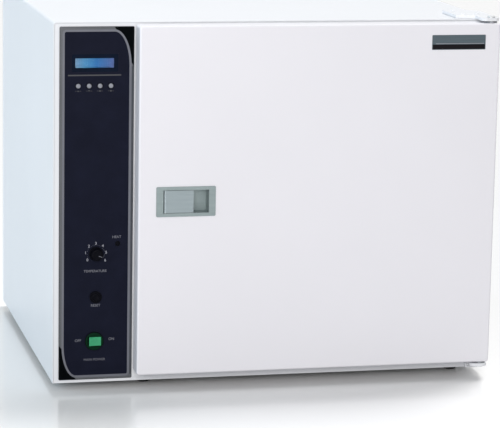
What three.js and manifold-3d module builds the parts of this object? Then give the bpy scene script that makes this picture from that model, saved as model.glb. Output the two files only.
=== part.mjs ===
import * as THREE from 'three';
import { mergeVertices } from 'three/addons/utils/BufferGeometryUtils.js';
import Module from 'manifold-3d';

// Dry heat sterilizer in millimetres: a heated chamber behind a side-hinged door, beside a control column.
// The front faces -Y, +X is to the right of a person at the door, and the feet stand on Z = 0.

// Sheet metal and clearances
const sheet = 1.5;
const seam = 0.4;
const fit = 0.3;
const foldDepth = 18;
const overrun = 2;

// Cabinet
const bodyHeight = 590;
const bodyDepth = 620;
const bodyEdgeRadius = 5;

// Feet
const footHeight = 12;
const footDiameter = 26;
const footChamfer = 3;
const footLeftInset = 26;
const footRightInset = 42;
const footEndInset = 42;

// Chamber and its insulation
const chamberSideMargin = 50;
const chamberEndMargin = 85;
const serviceDepth = 220;
const chamberCornerRadius = 12;
const plenumDepth = 55;
const linerSheet = 1.2;
const linerFlange = 14;
const insulationSide = 46;
const insulationBack = 55;

// Racks and shelves
const rackFrontInset = 16;
const rackBackGap = 12;
const rackStripWidth = 18;
const rackStripInset = 40;
const rackFloorGap = 26;
const ledgeWidth = 12;
const ledgeLip = 6;
const ledgeCount = 5;
const lowerShelfLedge = 1;
const upperShelfLedge = 3;
const shelfSideGap = 3;
const shelfRodDiameter = 6;
const shelfCornerRadius = 14;
const shelfWireDiameter = 3;
const shelfWeld = 0.6;
const shelfWireCount = 15;
const shelfCrossRodDiameter = 5;
const shelfCrossRodInset = 95;

// Air baffle, fan and heater in the plenum
const baffleFold = 12;
const baffleHoleDiameter = 13;
const baffleHolePitch = 22;
const baffleHoleRings = 2;
const baffleSlotWidth = 10;
const baffleSlotHeight = 44;
const baffleSlotCount = 4;
const baffleSlotInset = 26;
const impellerDiameter = 156;
const impellerWidth = 30;
const impellerSheet = 2;
const impellerBladeCount = 14;
const impellerBladeLength = 26;
const impellerBladeLeanAngle = 25;
const impellerHubDiameter = 24;
const impellerBackGap = 12;
const shaftDiameter = 8;
const shaftSeat = 24;
const heaterRingDiameter = 214;
const heaterTubeDiameter = 8.4;
const heaterBend = 14;
const heaterLegSpread = 44;
const heaterPlane = 22;
const terminalReach = 14;
const motorDiameter = 92;
const motorLength = 58;
const motorEndRadius = 10;
const motorFlangeDiameter = 116;
const motorFlangeThickness = 4;
const probeDiameter = 5;
const probeReach = 14;
const probeSideInset = 100;
const probeTopInset = 50;
const ventDiameter = 34;
const ventWall = 1.5;
const ventTopInset = 60;
const ventCapDiameter = 54;
const ventCapDepth = 9;
const ventSlotWidth = 3;
const ventSlotCount = 5;
const ventSlotPitch = 8;

// Door
const doorWidth = 600;
const doorThickness = 34;
const doorTopMargin = 3;
const doorFloorMargin = 17;
const doorGap = 4.5;
const doorSheet = 1.2;
const doorEdgeRadius = 3;
const doorCornerRadius = 5;
const plugDepth = 12.5;
const plugClearance = 6;
const gasketLand = 4;
const gasketWidth = 12;
const gasketBase = 1.8;
const gasketBeadWidth = 6;

// Hinges
const hingeEdgeInset = 12;
const hingeBackInset = 20;
const hingePlate = 5;
const hingePlateWidth = 60;
const hingeTongueWidth = 30;
const hingePlateReach = 90;
const hingePlateRadius = 24;
const hingeTongueRadius = 9;
const hingeTongueFrontInset = 4;
const hingePlateStart = 6;
const pinDiameter = 8;
const pinHeadDiameter = 13;
const pinHeadHeight = 2;
const pinReach = 16;
const bushDiameter = 15;
const bushCollarDiameter = 20;
const bushLength = 18;
const bushPocket = 34;

// Door latch
const latchLeftInset = 29;
const latchRise = 1.5;
const latchPlateWidth = 97.5;
const latchPlateHeight = 49;
const latchPlate = 1.5;
const latchPlateRadius = 2;
const latchCupWidth = 75;
const latchCupHeight = 37.5;
const latchCupDepth = 22;
const latchCupLeftRim = 11.5;
const latchCupSheet = 1.2;
const paddleWidth = 49;
const paddleGap = 0.6;
const paddleSheet = 2;
const paddleLip = 5;
const paddlePinInset = 4;
const knuckleDiameter = 7;
const paddlePinDiameter = 3;
const tailWidth = 6;
const tailThickness = 3;
const tailLength = 12.5;
const boltBarHeight = 14;
const boltBarThickness = 4;
const boltDrive = 10;
const boltWindow = 6;
const boltEnd = 5;
const boltTravel = 6.2;
const noseInset = 15;
const noseThickness = 5;
const noseHeight = 12;
const noseReach = 9;
const noseChamfer = 2;
const noseClearance = 2;
const latchPocketMargin = 8;
const strikeWidth = 24;
const strikeHeight = 44;
const strikePlate = 2;

// Control panel
const panelLeftMargin = 9.5;
const panelTopMargin = 7;
const panelBottomMargin = 5;
const panelWidth = 120.5;
const panelRightGap = 2;
const panelPlate = 1.5;
const panelRadius = 2;
const displayRight = -3.6;
const displayDrop = 58.4;
const windowWidth = 65;
const windowHeight = 18.2;
const windowPane = 1.2;
const displayWidth = 72;
const displayTall = 25;
const displayDepth = 6;
const boardWidth = 96;
const boardTopMargin = 20;
const boardBottomMargin = 12;
const boardSheet = 1.6;
const boardPostDiameter = 6;
const boardPostInset = 5;
const keyDrop = 95.2;
const keyPitch = 17.65;
const keyCount = 4;
const keyDiameter = 7.4;
const keyProud = 1.6;
const keyTravel = 0.8;
const lampRight = 35.6;
const lampHeight = 224.8;
const lampDiameter = 8.4;
const lampProud = 1.4;
const lampBodyDiameter = 10;
const lampLength = 16;
const knobHeight = 209;
const knobDiameter = 23;
const knobTopDiameter = 19;
const knobLength = 15;
const knobGripCount = 12;
const knobGripDepth = 0.9;
const knobPointerWidth = 1.6;
const knobPointerDepth = 0.8;
const knobRestAngle = 112;
const knobShaftDiameter = 6;
const thermostatWidth = 40;
const thermostatHeight = 44;
const thermostatDepth = 26;
const resetHeight = 137.2;
const resetRimDiameter = 20;
const resetRim = 3;
const resetCapDiameter = 13;
const resetCapProud = 4;
const resetTravel = 2.5;
const resetBarrelDiameter = 17;
const resetLength = 24;
const rockerHeight = 64;
const rockerRight = -2;
const rockerRimDiameter = 31;
const rockerRim = 2.4;
const rockerBarrelDiameter = 27;
const rockerLength = 22;
const rockerWidth = 20;
const rockerTall = 14;
const rockerPivot = 3.8;
const rockerGap = 0.9;
const rockerRise = 2.6;
const rockerTiltAngle = 7;

// Electronics bay behind the control panel
const partitionFold = 14;
const driveBoardDepth = 190;
const driveBoardHeight = 240;
const driveBoardFront = 150;
const driveBoardFloor = 190;
const driveBoardStandoff = 10;
const driveBoardInset = 10;
const transformerWidth = 34;
const transformerDepth = 56;
const transformerHeight = 48;
const relayWidth = 16;
const relayDepth = 28;
const relayHeight = 20;
const relayCount = 3;
const relayPitch = 34;
const terminalStripWidth = 14;
const terminalStripDepth = 140;
const terminalStripHeight = 12;

// Back panel fittings
const inletFloor = 74;
const inletFlangeWidth = 50;
const inletFlangeHeight = 30;
const inletFlange = 2.4;
const inletBodyWidth = 33;
const inletBodyHeight = 24;
const inletDepth = 24;
const inletCavityWidth = 27;
const inletCavityHeight = 19;
const inletCavityDepth = 17;
const bladeWidth = 2;
const bladeHeight = 4;
const bladeReach = 14;
const bladeSpread = 7;
const bladeRise = 2.4;
const fuseFloor = 118;
const fuseDiameter = 13;
const fuseCapDiameter = 17;
const fuseCapProud = 8;
const fuseLength = 30;
const louvreWidth = 84;
const louvreHeight = 7;
const louvreStand = 4;
const louvrePitch = 16;
const bayLouvreCount = 6;
const bayLouvreFloor = 330;
const motorLouvreCount = 5;
const motorLouvrePitch = 18;
const motorLouvreSpread = 100;

// Facets of round pieces
const coarseSides = 8;
const smallSides = 12;
const rodSides = 6;
const roundSides = 18;
const cornerSteps = 3;

// Places worked out from the sizes above
const columnWidth = panelLeftMargin + panelWidth + panelRightGap;
const bodyWidth = columnWidth + doorWidth;
const bodyFloor = footHeight;
const bodyTop = bodyFloor + bodyHeight;
const bodySide = bodyWidth / 2;
const innerSide = bodySide - sheet - seam;
const innerTop = bodyTop - sheet - seam;
const doorRight = bodySide;
const doorLeft = doorRight - doorWidth;
const doorMiddle = (doorLeft + doorRight) / 2;
const doorHeight = bodyHeight - doorTopMargin - doorFloorMargin;
const doorTop = bodyTop - doorTopMargin;
const doorFloor = doorTop - doorHeight;
const latchHeight = doorHeight / 2 + latchRise;
const chamberWidth = doorWidth - chamberSideMargin * 2;
const chamberHeight = doorHeight - chamberEndMargin * 2;
const chamberDepth = bodyDepth - serviceDepth;
const chamberFloor = doorFloor + chamberEndMargin;
const chamberMouth = sheet + fit;
const chamberMiddleHeight = chamberHeight / 2;
const rackDepth = chamberDepth - rackFrontInset - rackBackGap;
const rackHeight = chamberHeight - rackFloorGap * 2;
const probeRight = chamberWidth / 2 - probeSideInset;
const probeRise = chamberMiddleHeight - probeTopInset;
const ventRise = chamberMiddleHeight - ventTopInset;
const plenumBack = chamberDepth + plenumDepth;
const insulationEnd = chamberMouth + plenumBack + linerSheet + fit + insulationBack;
const coverFront = insulationEnd + fit;
const coverBack = coverFront + sheet;
const insulationLeft = doorMiddle - chamberWidth / 2 - linerSheet - insulationSide;
const partitionRight = insulationLeft - fit;
const partitionLeft = partitionRight - sheet;
const panelHeight = bodyHeight - panelTopMargin - panelBottomMargin;
const panelMiddle = panelWidth / 2;
const displayHeight = panelHeight - displayDrop;
const keyHeight = panelHeight - keyDrop;
const columnMiddle = columnWidth / 2 - bodySide;
const panelFront = -fit - panelPlate;
const latchFront = -doorThickness - fit - latchPlate;
const paddlePivotX = latchLeftInset + latchCupLeftRim + paddlePinInset;
const paddlePivotY = latchFront + knuckleDiameter / 2;
const hingeX = doorRight - hingeEdgeInset;
const hingeY = -doorGap - hingeBackInset;
const ventEnd = bodyDepth + ventCapDepth;
const middleY = (ventEnd - doorGap + latchFront) / 2;

const wasm = await Module();
wasm.setup();

// Turns a closed three.js geometry into a solid that can be cut and joined.
function solidOf(geometry) {
  const bare = geometry.index ? geometry.toNonIndexed() : geometry.clone();
  bare.deleteAttribute('normal');
  bare.deleteAttribute('uv');
  const merged = mergeVertices(bare);
  const index = merged.index.array;
  const kept = [];
  for (let i = 0; i < index.length; i += 3) {
    const [a, b, c] = [index[i], index[i + 1], index[i + 2]];
    if (a !== b && b !== c && c !== a) {
      kept.push(a, b, c);
    }
  }
  return new wasm.Manifold(new wasm.Mesh({
    numProp: 3,
    vertProperties: new Float32Array(merged.attributes.position.array),
    triVerts: new Uint32Array(kept),
  }));
}

// Turns a solid back into a named three.js mesh.
function meshOf(name, solid, material) {
  const surface = solid.getMesh();
  const geometry = new THREE.BufferGeometry();
  const positions = new Float32Array(surface.vertProperties);
  geometry.setAttribute('position', new THREE.BufferAttribute(positions, 3));
  geometry.setIndex(new THREE.BufferAttribute(new Uint32Array(surface.triVerts), 1));
  geometry.computeVertexNormals();
  const mesh = new THREE.Mesh(geometry, material);
  mesh.name = name;
  return mesh;
}

function join(solids) {
  return solids.reduce((whole, next) => whole.add(next));
}

function cut(solid, tools) {
  return tools.reduce((rest, tool) => rest.subtract(tool), solid);
}

// A block between two corners.
function block(x0, x1, y0, y1, z0, z1) {
  const geometry = new THREE.BoxGeometry(x1 - x0, y1 - y0, z1 - z0);
  geometry.translate((x0 + x1) / 2, (y0 + y1) / 2, (z0 + z1) / 2);
  return solidOf(geometry);
}

// A round bar from one end to the other along X, Y or Z.
function bar(axis, radius, from, to, across, up, sides = roundSides) {
  const geometry = new THREE.CylinderGeometry(radius, radius, to - from, sides);
  const middle = (from + to) / 2;
  if (axis === 'x') {
    geometry.rotateZ(-Math.PI / 2);
    geometry.translate(middle, across, up);
  } else if (axis === 'y') {
    geometry.translate(across, middle, up);
  } else {
    geometry.rotateX(Math.PI / 2);
    geometry.translate(across, up, middle);
  }
  return solidOf(geometry);
}

// Extrudes a shape drawn in X and Z from y0 back to y1.
function prism(shape, y0, y1) {
  const geometry = new THREE.ExtrudeGeometry(shape, {
    depth: y1 - y0,
    bevelEnabled: false,
    curveSegments: cornerSteps,
  });
  geometry.rotateX(Math.PI / 2);
  geometry.translate(0, y1, 0);
  return solidOf(geometry);
}

// Extrudes a shape drawn in X and Y from z0 up to z1.
function slab(shape, z0, z1) {
  const geometry = new THREE.ExtrudeGeometry(shape, {
    depth: z1 - z0,
    bevelEnabled: false,
    curveSegments: cornerSteps,
  });
  geometry.translate(0, 0, z0);
  return solidOf(geometry);
}

// Extrudes a section drawn in Y and Z from x0 to x1.
function rail(shape, x0, x1) {
  const geometry = new THREE.ExtrudeGeometry(shape, {
    depth: x1 - x0,
    bevelEnabled: false,
    curveSegments: cornerSteps,
  });
  const turn = new THREE.Matrix4();
  turn.makeBasis(new THREE.Vector3(0, 1, 0), new THREE.Vector3(0, 0, 1), new THREE.Vector3(1, 0, 0));
  geometry.applyMatrix4(turn);
  geometry.translate(x0, 0, 0);
  return solidOf(geometry);
}

// A lathe form of [radius, distance] points. An outline that stays off the axis closes on its first point.
function lathed(outline, sides) {
  const points = outline.map(([radius, distance]) => new THREE.Vector2(radius, distance));
  if (points[0].x > 0) {
    points.push(points[0].clone());
  }
  return new THREE.LatheGeometry(points, sides);
}

// Turns an outline of [radius, distance] points about an axis along Y.
function turned(outline, across, up, sides = roundSides) {
  const geometry = lathed(outline, sides);
  geometry.translate(across, 0, up);
  return solidOf(geometry);
}

// An upright rectangle with rounded corners, from its lower left corner.
function roundedRectangle(left, low, width, height, radius) {
  const shape = new THREE.Shape();
  const right = left + width;
  const high = low + height;
  shape.moveTo(left + radius, low);
  shape.lineTo(right - radius, low);
  shape.absarc(right - radius, low + radius, radius, -Math.PI / 2, 0, false);
  shape.lineTo(right, high - radius);
  shape.absarc(right - radius, high - radius, radius, 0, Math.PI / 2, false);
  shape.lineTo(left + radius, high);
  shape.absarc(left + radius, high - radius, radius, Math.PI / 2, Math.PI, false);
  shape.lineTo(left, low + radius);
  shape.absarc(left + radius, low + radius, radius, Math.PI, Math.PI * 1.5, false);
  return shape;
}

// A rounded rectangle about the middle of the chamber, grown outwards on every side.
function chamberOutline(growth) {
  return roundedRectangle(
    -chamberWidth / 2 - growth,
    -growth,
    chamberWidth + growth + growth,
    chamberHeight + growth + growth,
    chamberCornerRadius + growth,
  );
}

// An upright rectangle with only its top corners rounded.
function archedRectangle(side, low, high, radius) {
  const shape = new THREE.Shape();
  shape.moveTo(-side, low);
  shape.lineTo(side, low);
  shape.lineTo(side, high - radius);
  shape.absarc(side - radius, high - radius, radius, 0, Math.PI / 2, false);
  shape.lineTo(radius - side, high);
  shape.absarc(radius - side, high - radius, radius, Math.PI / 2, Math.PI, false);
  return shape;
}

function material(color, roughness, metalness) {
  return new THREE.MeshStandardMaterial({ color, roughness, metalness });
}

const whitePaint = material(0xeff1f5, 0.4, 0);
const panelBlack = material(0x1f212e, 0.35, 0);
const stainless = material(0xc4c9ca, 0.3, 1);
const galvanised = material(0xa9aeb2, 0.45, 1);
const blackPlastic = material(0x101114, 0.5, 0);
const paleKey = material(0xc9cad0, 0.5, 0);
const blackRubber = material(0x17171a, 0.85, 0);
const greenLens = material(0x34a571, 0.25, 0);
const blueGlass = material(0x3c73ac, 0.2, 0);
const clearPane = material(0x9fb4c8, 0.1, 0);
const silicone = material(0xb4443a, 0.7, 0);
const mineralWool = material(0xcdbf8e, 0.95, 0);
const circuitBoard = material(0x1f5a3c, 0.6, 0);
const castMetal = material(0x80858a, 0.5, 1);
const ceramicHeater = material(0x5a4f49, 0.5, 1);

// Wrap: one folded sheet over the left side, the top and the right side.
function makeWrap() {
  const outer = archedRectangle(bodySide, bodyFloor, bodyTop, bodyEdgeRadius);
  const inner = archedRectangle(
    bodySide - sheet,
    bodyFloor - overrun,
    bodyTop - sheet,
    bodyEdgeRadius - sheet,
  );
  const shell = cut(prism(outer, 0, bodyDepth), [prism(inner, -overrun, bodyDepth + overrun)]);
  return meshOf('cabinet_wrap', shell, whitePaint);
}

// A pan of sheet that closes one end of the wrap, with its edges folded inwards.
function endPan(y0, y1, faceAtFront) {
  const radius = bodyEdgeRadius - sheet;
  const outer = archedRectangle(innerSide, bodyFloor, innerTop, radius);
  const inner = archedRectangle(
    innerSide - sheet,
    bodyFloor + sheet,
    innerTop - sheet,
    radius - sheet / 2,
  );
  const hollow = faceAtFront
    ? prism(inner, y0 + sheet, y1 + overrun)
    : prism(inner, y0 - overrun, y1 - sheet);
  return cut(prism(outer, y0, y1), [hollow]);
}

// The cut-outs for every fitting that passes through the control plate, grown by an extra clearance.
function panelCuts(extra, y0, y1) {
  const cuts = [];
  const windowLeft = panelMiddle + displayRight - windowWidth / 2;
  const windowLow = displayHeight - windowHeight / 2;
  cuts.push(block(
    windowLeft - extra,
    windowLeft + windowWidth + extra,
    y0,
    y1,
    windowLow - extra,
    windowLow + windowHeight + extra,
  ));
  const keyReach = keyDiameter / 2 + fit + extra;
  const keys = keyPlaces();
  if (extra > 0) {
    cuts.push(block(
      keys[0] - keyReach,
      keys[keyCount - 1] + keyReach,
      y0,
      y1,
      keyHeight - keyReach,
      keyHeight + keyReach,
    ));
  } else {
    keys.forEach((x) => cuts.push(bar('y', keyReach, y0, y1, x, keyHeight, smallSides)));
  }
  const rounds = [
    [lampDiameter, panelMiddle + lampRight, lampHeight, smallSides],
    [knobShaftDiameter, panelMiddle, knobHeight, smallSides],
    [resetBarrelDiameter, panelMiddle, resetHeight, roundSides],
    [rockerBarrelDiameter, panelMiddle + rockerRight, rockerHeight, roundSides],
  ];
  for (const [diameter, x, z, sides] of rounds) {
    cuts.push(bar('y', diameter / 2 + fit + extra, y0, y1, x, z, sides));
  }
  return cuts;
}

function keyPlaces() {
  const first = panelMiddle + displayRight - keyPitch * (keyCount - 1) / 2;
  return Array.from({ length: keyCount }, (_, i) => first + keyPitch * i);
}

// Front frame: the white face around the control plate and the chamber's mouth.
function makeFrontFrame() {
  const mouth = prism(chamberOutline(0), -overrun, foldDepth);
  const mouthHere = mouth.translate([doorMiddle, 0, chamberFloor]);
  const panelCorner = [panelLeftMargin - bodySide, 0, bodyFloor + panelBottomMargin];
  const panelTools = panelCuts(sheet, -overrun, sheet + overrun);
  const behindPanel = panelTools.map((tool) => tool.translate(panelCorner));
  const displaySeat = block(
    panelMiddle + displayRight - displayWidth / 2 - fit,
    panelMiddle + displayRight + displayWidth / 2 + fit,
    -overrun,
    sheet + overrun,
    displayHeight - displayTall / 2 - fit,
    displayHeight + displayTall / 2 + fit,
  ).translate(panelCorner);
  const [slotLeft, slotRight] = strikeSlot();
  const slot = block(
    doorLeft + slotLeft,
    doorLeft + slotRight,
    -overrun,
    sheet + overrun,
    doorFloor + latchHeight - noseHeight / 2 - noseClearance,
    doorFloor + latchHeight + noseHeight / 2 + noseClearance,
  );
  const frame = cut(endPan(0, foldDepth, true), [mouthHere, ...behindPanel, displaySeat, slot]);
  return meshOf('front_frame', frame, whitePaint);
}

// The stretch, from the door's left edge, that the latch nose needs with its travel.
function strikeSlot() {
  return [noseInset - noseClearance, noseInset + noseThickness + boltTravel + noseClearance];
}

function makeBackPanel() {
  const y0 = bodyDepth - sheet - overrun;
  const y1 = bodyDepth + overrun;
  const tools = [
    bar('y', ventDiameter / 2 + fit, y0, y1, doorMiddle, ventHeight()),
    block(
      columnMiddle - inletBodyWidth / 2 - fit,
      columnMiddle + inletBodyWidth / 2 + fit,
      y0,
      y1,
      inletFloor - inletBodyHeight / 2 - fit,
      inletFloor + inletBodyHeight / 2 + fit,
    ),
    bar('y', fuseDiameter / 2 + fit, y0, y1, columnMiddle, fuseFloor),
  ];
  const hoods = [];
  for (const [x, z] of louvrePlaces()) {
    hoods.push(louvreSolid(x, z, 0));
    tools.push(louvreSolid(x, z, sheet));
  }
  const pan = join([endPan(bodyDepth - foldDepth, bodyDepth, false), ...hoods]);
  return meshOf('back_panel', cut(pan, tools), whitePaint);
}

function ventHeight() {
  return chamberFloor + chamberMiddleHeight + ventRise;
}

function louvrePlaces() {
  const places = [];
  const bayMiddle = (partitionLeft - bodySide) / 2;
  for (let i = 0; i < bayLouvreCount; i += 1) {
    places.push([bayMiddle, bayLouvreFloor + louvrePitch * i]);
  }
  const motorMiddle = chamberFloor + chamberMiddleHeight;
  for (let i = 0; i < motorLouvreCount; i += 1) {
    const rise = (i - (motorLouvreCount - 1) / 2) * motorLouvrePitch - louvreHeight / 2;
    for (const side of [-1, 1]) {
      places.push([doorMiddle + side * motorLouvreSpread, motorMiddle + rise]);
    }
  }
  return places;
}

// One pressed louvre: a sloping hood, open underneath. The same form one sheet smaller is its hollow.
function louvreSolid(x, z, inset) {
  const face = bodyDepth - sheet;
  const section = new THREE.Shape();
  const stand = louvreStand - inset / 2;
  const high = louvreHeight - inset;
  section.moveTo(face - inset, -inset);
  section.lineTo(bodyDepth + stand, -inset);
  section.lineTo(bodyDepth + stand, high / 3);
  section.lineTo(face - inset, high);
  const half = louvreWidth / 2 - inset;
  return rail(section, x - half, x + half).translate([0, 0, z]);
}

function makeBasePan() {
  const y0 = foldDepth + fit;
  const y1 = bodyDepth - foldDepth - fit;
  const tray = block(-innerSide, innerSide, y0, y1, bodyFloor, bodyFloor + foldDepth);
  const hollow = block(
    sheet - innerSide,
    innerSide - sheet,
    y0 - overrun,
    y1 + overrun,
    bodyFloor + sheet,
    bodyFloor + foldDepth + overrun,
  );
  return meshOf('base_pan', cut(tray, [hollow]), galvanised);
}

function makeFoot(name, x, y) {
  const radius = footDiameter / 2;
  const outline = [
    [0, 0],
    [radius - footChamfer, 0],
    [radius, footHeight - footChamfer],
    [radius, footHeight - fit],
    [0, footHeight - fit],
  ];
  const geometry = lathed(outline, roundSides);
  geometry.rotateX(Math.PI / 2);
  const foot = meshOf(name, solidOf(geometry), blackRubber);
  foot.position.set(x, y, 0);
  return foot;
}

function makeFeet() {
  const left = doorLeft + footLeftInset;
  const right = bodySide - footRightInset;
  const back = bodyDepth - footEndInset;
  return [
    makeFoot('foot_front_left', left, footEndInset),
    makeFoot('foot_front_right', right, footEndInset),
    makeFoot('foot_back_left', left, back),
    makeFoot('foot_back_right', right, back),
  ];
}

// Partition between the electronics bay and the insulation, a Z-folded sheet.
function makePartition() {
  const y0 = foldDepth + fit;
  const y1 = bodyDepth - foldDepth - fit;
  const low = bodyFloor + sheet + fit;
  const high = innerTop - fit;
  const wall = block(partitionLeft, partitionRight, y0, y1, low, high);
  const foot = block(partitionLeft - partitionFold, partitionRight, y0, y1, low, low + sheet);
  const head = block(partitionLeft - partitionFold, partitionRight, y0, y1, high - sheet, high);
  return meshOf('bay_partition', join([wall, foot, head]), galvanised);
}

// The holes that run from the plenum to the back, grown by a clearance.
function serviceBores(growth, y0, y1) {
  const middle = chamberFloor + chamberMiddleHeight;
  const bores = [
    bar('y', shaftDiameter / 2 + growth, y0, y1, doorMiddle, middle, smallSides),
    bar('y', probeDiameter / 2 + growth, y0, y1, doorMiddle + probeRight, middle + probeRise, smallSides),
    bar('y', ventDiameter / 2 + growth, y0, y1, doorMiddle, middle + ventRise),
  ];
  for (const side of [-1, 1]) {
    const x = doorMiddle + side * heaterLegSpread / 2;
    const z = middle - heaterRingDiameter / 2;
    bores.push(bar('y', heaterTubeDiameter / 2 + growth, y0, y1, x, z, smallSides));
  }
  return bores;
}

function makeInsulation() {
  const right = innerSide - sheet - fit;
  const low = bodyFloor + sheet + fit;
  const high = innerTop - fit;
  const y0 = foldDepth + fit;
  const wool = block(insulationLeft, right, y0, insulationEnd, low, high);
  const pocketEnd = chamberMouth + plenumBack + linerSheet + fit;
  const pocket = prism(chamberOutline(linerSheet + fit), y0 - overrun, pocketEnd);
  const pocketHere = pocket.translate([doorMiddle, 0, chamberFloor]);
  const bores = serviceBores(fit + fit, y0, insulationEnd + overrun);
  const partitionFeet = block(
    insulationLeft - overrun,
    insulationLeft,
    y0 - overrun,
    insulationEnd + overrun,
    low - overrun,
    high + overrun,
  );
  return meshOf('chamber_insulation', cut(wool, [pocketHere, ...bores, partitionFeet]), mineralWool);
}

function makeInsulationCover() {
  const right = innerSide - sheet - fit;
  const low = bodyFloor + sheet + fit;
  const high = innerTop - fit;
  const plate = block(insulationLeft, right, coverFront, coverBack, low, high);
  const bores = serviceBores(fit, coverFront - overrun, coverBack + overrun);
  return meshOf('insulation_cover', cut(plate, bores), galvanised);
}

// Chamber liner: a stainless box with rounded long corners, a flange at the mouth and a closed back.
function makeLiner() {
  const back = plenumBack + linerSheet;
  const tube = prism(chamberOutline(linerSheet), 0, back);
  const flange = prism(chamberOutline(linerSheet + linerFlange), 0, linerSheet);
  const hollow = prism(chamberOutline(0), -overrun, plenumBack);
  const bores = serviceBores(fit, chamberMouth + plenumBack - overrun, chamberMouth + back + overrun);
  const boresHere = bores.map((bore) => bore.translate([-doorMiddle, -chamberMouth, -chamberFloor]));
  return meshOf('chamber_liner', cut(join([tube, flange]), [hollow, ...boresHere]), stainless);
}

function ledgeHeights() {
  const first = rackFloorGap + ledgeLip;
  const pitch = (rackHeight - ledgeLip - sheet) / (ledgeCount - 1);
  return Array.from({ length: ledgeCount }, (_, i) => first + pitch * i);
}

// Side rack: two upright strips that carry the shelf ledges.
function makeRack(name, side) {
  const wall = chamberWidth / 2 - fit;
  const strips = [rackStripInset, rackDepth - rackStripInset - rackStripWidth].map((y) => block(
    wall - sheet,
    wall,
    rackFrontInset + y,
    rackFrontInset + y + rackStripWidth,
    rackFloorGap,
    rackFloorGap + rackHeight,
  ));
  const ledges = ledgeHeights().map((z) => {
    const section = block(
      wall - sheet - ledgeWidth,
      wall - sheet / 2,
      rackFrontInset,
      rackFrontInset + rackDepth,
      z - ledgeLip,
      z,
    );
    const hollow = block(
      wall - ledgeWidth,
      wall + overrun,
      rackFrontInset - overrun,
      rackFrontInset + rackDepth + overrun,
      z - ledgeLip - overrun,
      z - sheet,
    );
    return section.subtract(hollow);
  });
  let rack = join([...strips, ...ledges]);
  if (side < 0) {
    rack = rack.mirror([1, 0, 0]);
  }
  return meshOf(name, rack, stainless);
}

// A closed loop of round rod through flat corner points, mitred where it turns.
function rodLoop(points, radius, sides) {
  const rings = points.map((point, i) => {
    const before = points[(i + points.length - 1) % points.length];
    const after = points[(i + 1) % points.length];
    const arriving = point.clone().sub(before).normalize();
    const leaving = after.clone().sub(point).normalize();
    const along = arriving.clone().add(leaving).normalize();
    const outward = new THREE.Vector2(along.y, -along.x);
    const stretch = 1 / along.dot(leaving);
    return Array.from({ length: sides }, (_, k) => {
      const turn = (k + 0.5) / sides * Math.PI * 2;
      const reach = Math.cos(turn) * radius * stretch;
      return [point.x + outward.x * reach, point.y + outward.y * reach, Math.sin(turn) * radius];
    });
  });
  const positions = rings.flat(2);
  const index = [];
  rings.forEach((_, i) => {
    const next = (i + 1) % rings.length;
    for (let k = 0; k < sides; k += 1) {
      const other = (k + 1) % sides;
      const [a, b] = [i * sides + k, i * sides + other];
      const [c, d] = [next * sides + k, next * sides + other];
      index.push(a, c, b, b, c, d);
    }
  });
  const geometry = new THREE.BufferGeometry();
  geometry.setAttribute('position', new THREE.Float32BufferAttribute(positions, 3));
  geometry.setIndex(index);
  const solid = solidOf(geometry);
  if (solid.volume() > 0) {
    return solid;
  }
  geometry.setIndex(index.reverse());
  return solidOf(geometry);
}

function loopPoints(width, depth, radius) {
  const outline = roundedRectangle(-width / 2, -depth / 2, width, depth, radius);
  const points = outline.getPoints(cornerSteps);
  const spaced = [];
  for (const point of points) {
    const last = spaced[spaced.length - 1];
    if (!last || last.distanceTo(point) > fit) {
      spaced.push(point);
    }
  }
  if (spaced[0].distanceTo(spaced[spaced.length - 1]) < fit) {
    spaced.pop();
  }
  return spaced;
}

// Wire shelf: a rod frame with two cross rods, and a row of wires welded on top from front to back.
function makeShelf(name, ledge) {
  const wall = chamberWidth / 2 - fit - sheet;
  const width = (wall - shelfSideGap) * 2;
  const rod = shelfRodDiameter / 2;
  const wire = shelfWireDiameter / 2;
  const cross = shelfCrossRodDiameter / 2;
  const frame = rodLoop(
    loopPoints(width - shelfRodDiameter, rackDepth - shelfRodDiameter, shelfCornerRadius),
    rod,
    rodSides,
  );
  const pieces = [frame];
  const gap = (width - shelfRodDiameter) / (shelfWireCount + 1);
  const reach = rackDepth / 2 - wire;
  for (let i = 1; i <= shelfWireCount; i += 1) {
    const x = rod - width / 2 + gap * i;
    pieces.push(bar('y', wire, -reach, reach, x, rod + wire - shelfWeld, rodSides));
  }
  for (const y of [-shelfCrossRodInset, shelfCrossRodInset]) {
    pieces.push(bar('x', cross, rod - width / 2, width / 2 - rod, y, rod - cross, rodSides));
  }
  const shelf = meshOf(name, join(pieces), stainless);
  const height = ledgeHeights()[ledge] + fit + rod;
  shelf.position.set(0, rackFrontInset + rackDepth / 2, height);
  return shelf;
}

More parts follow.
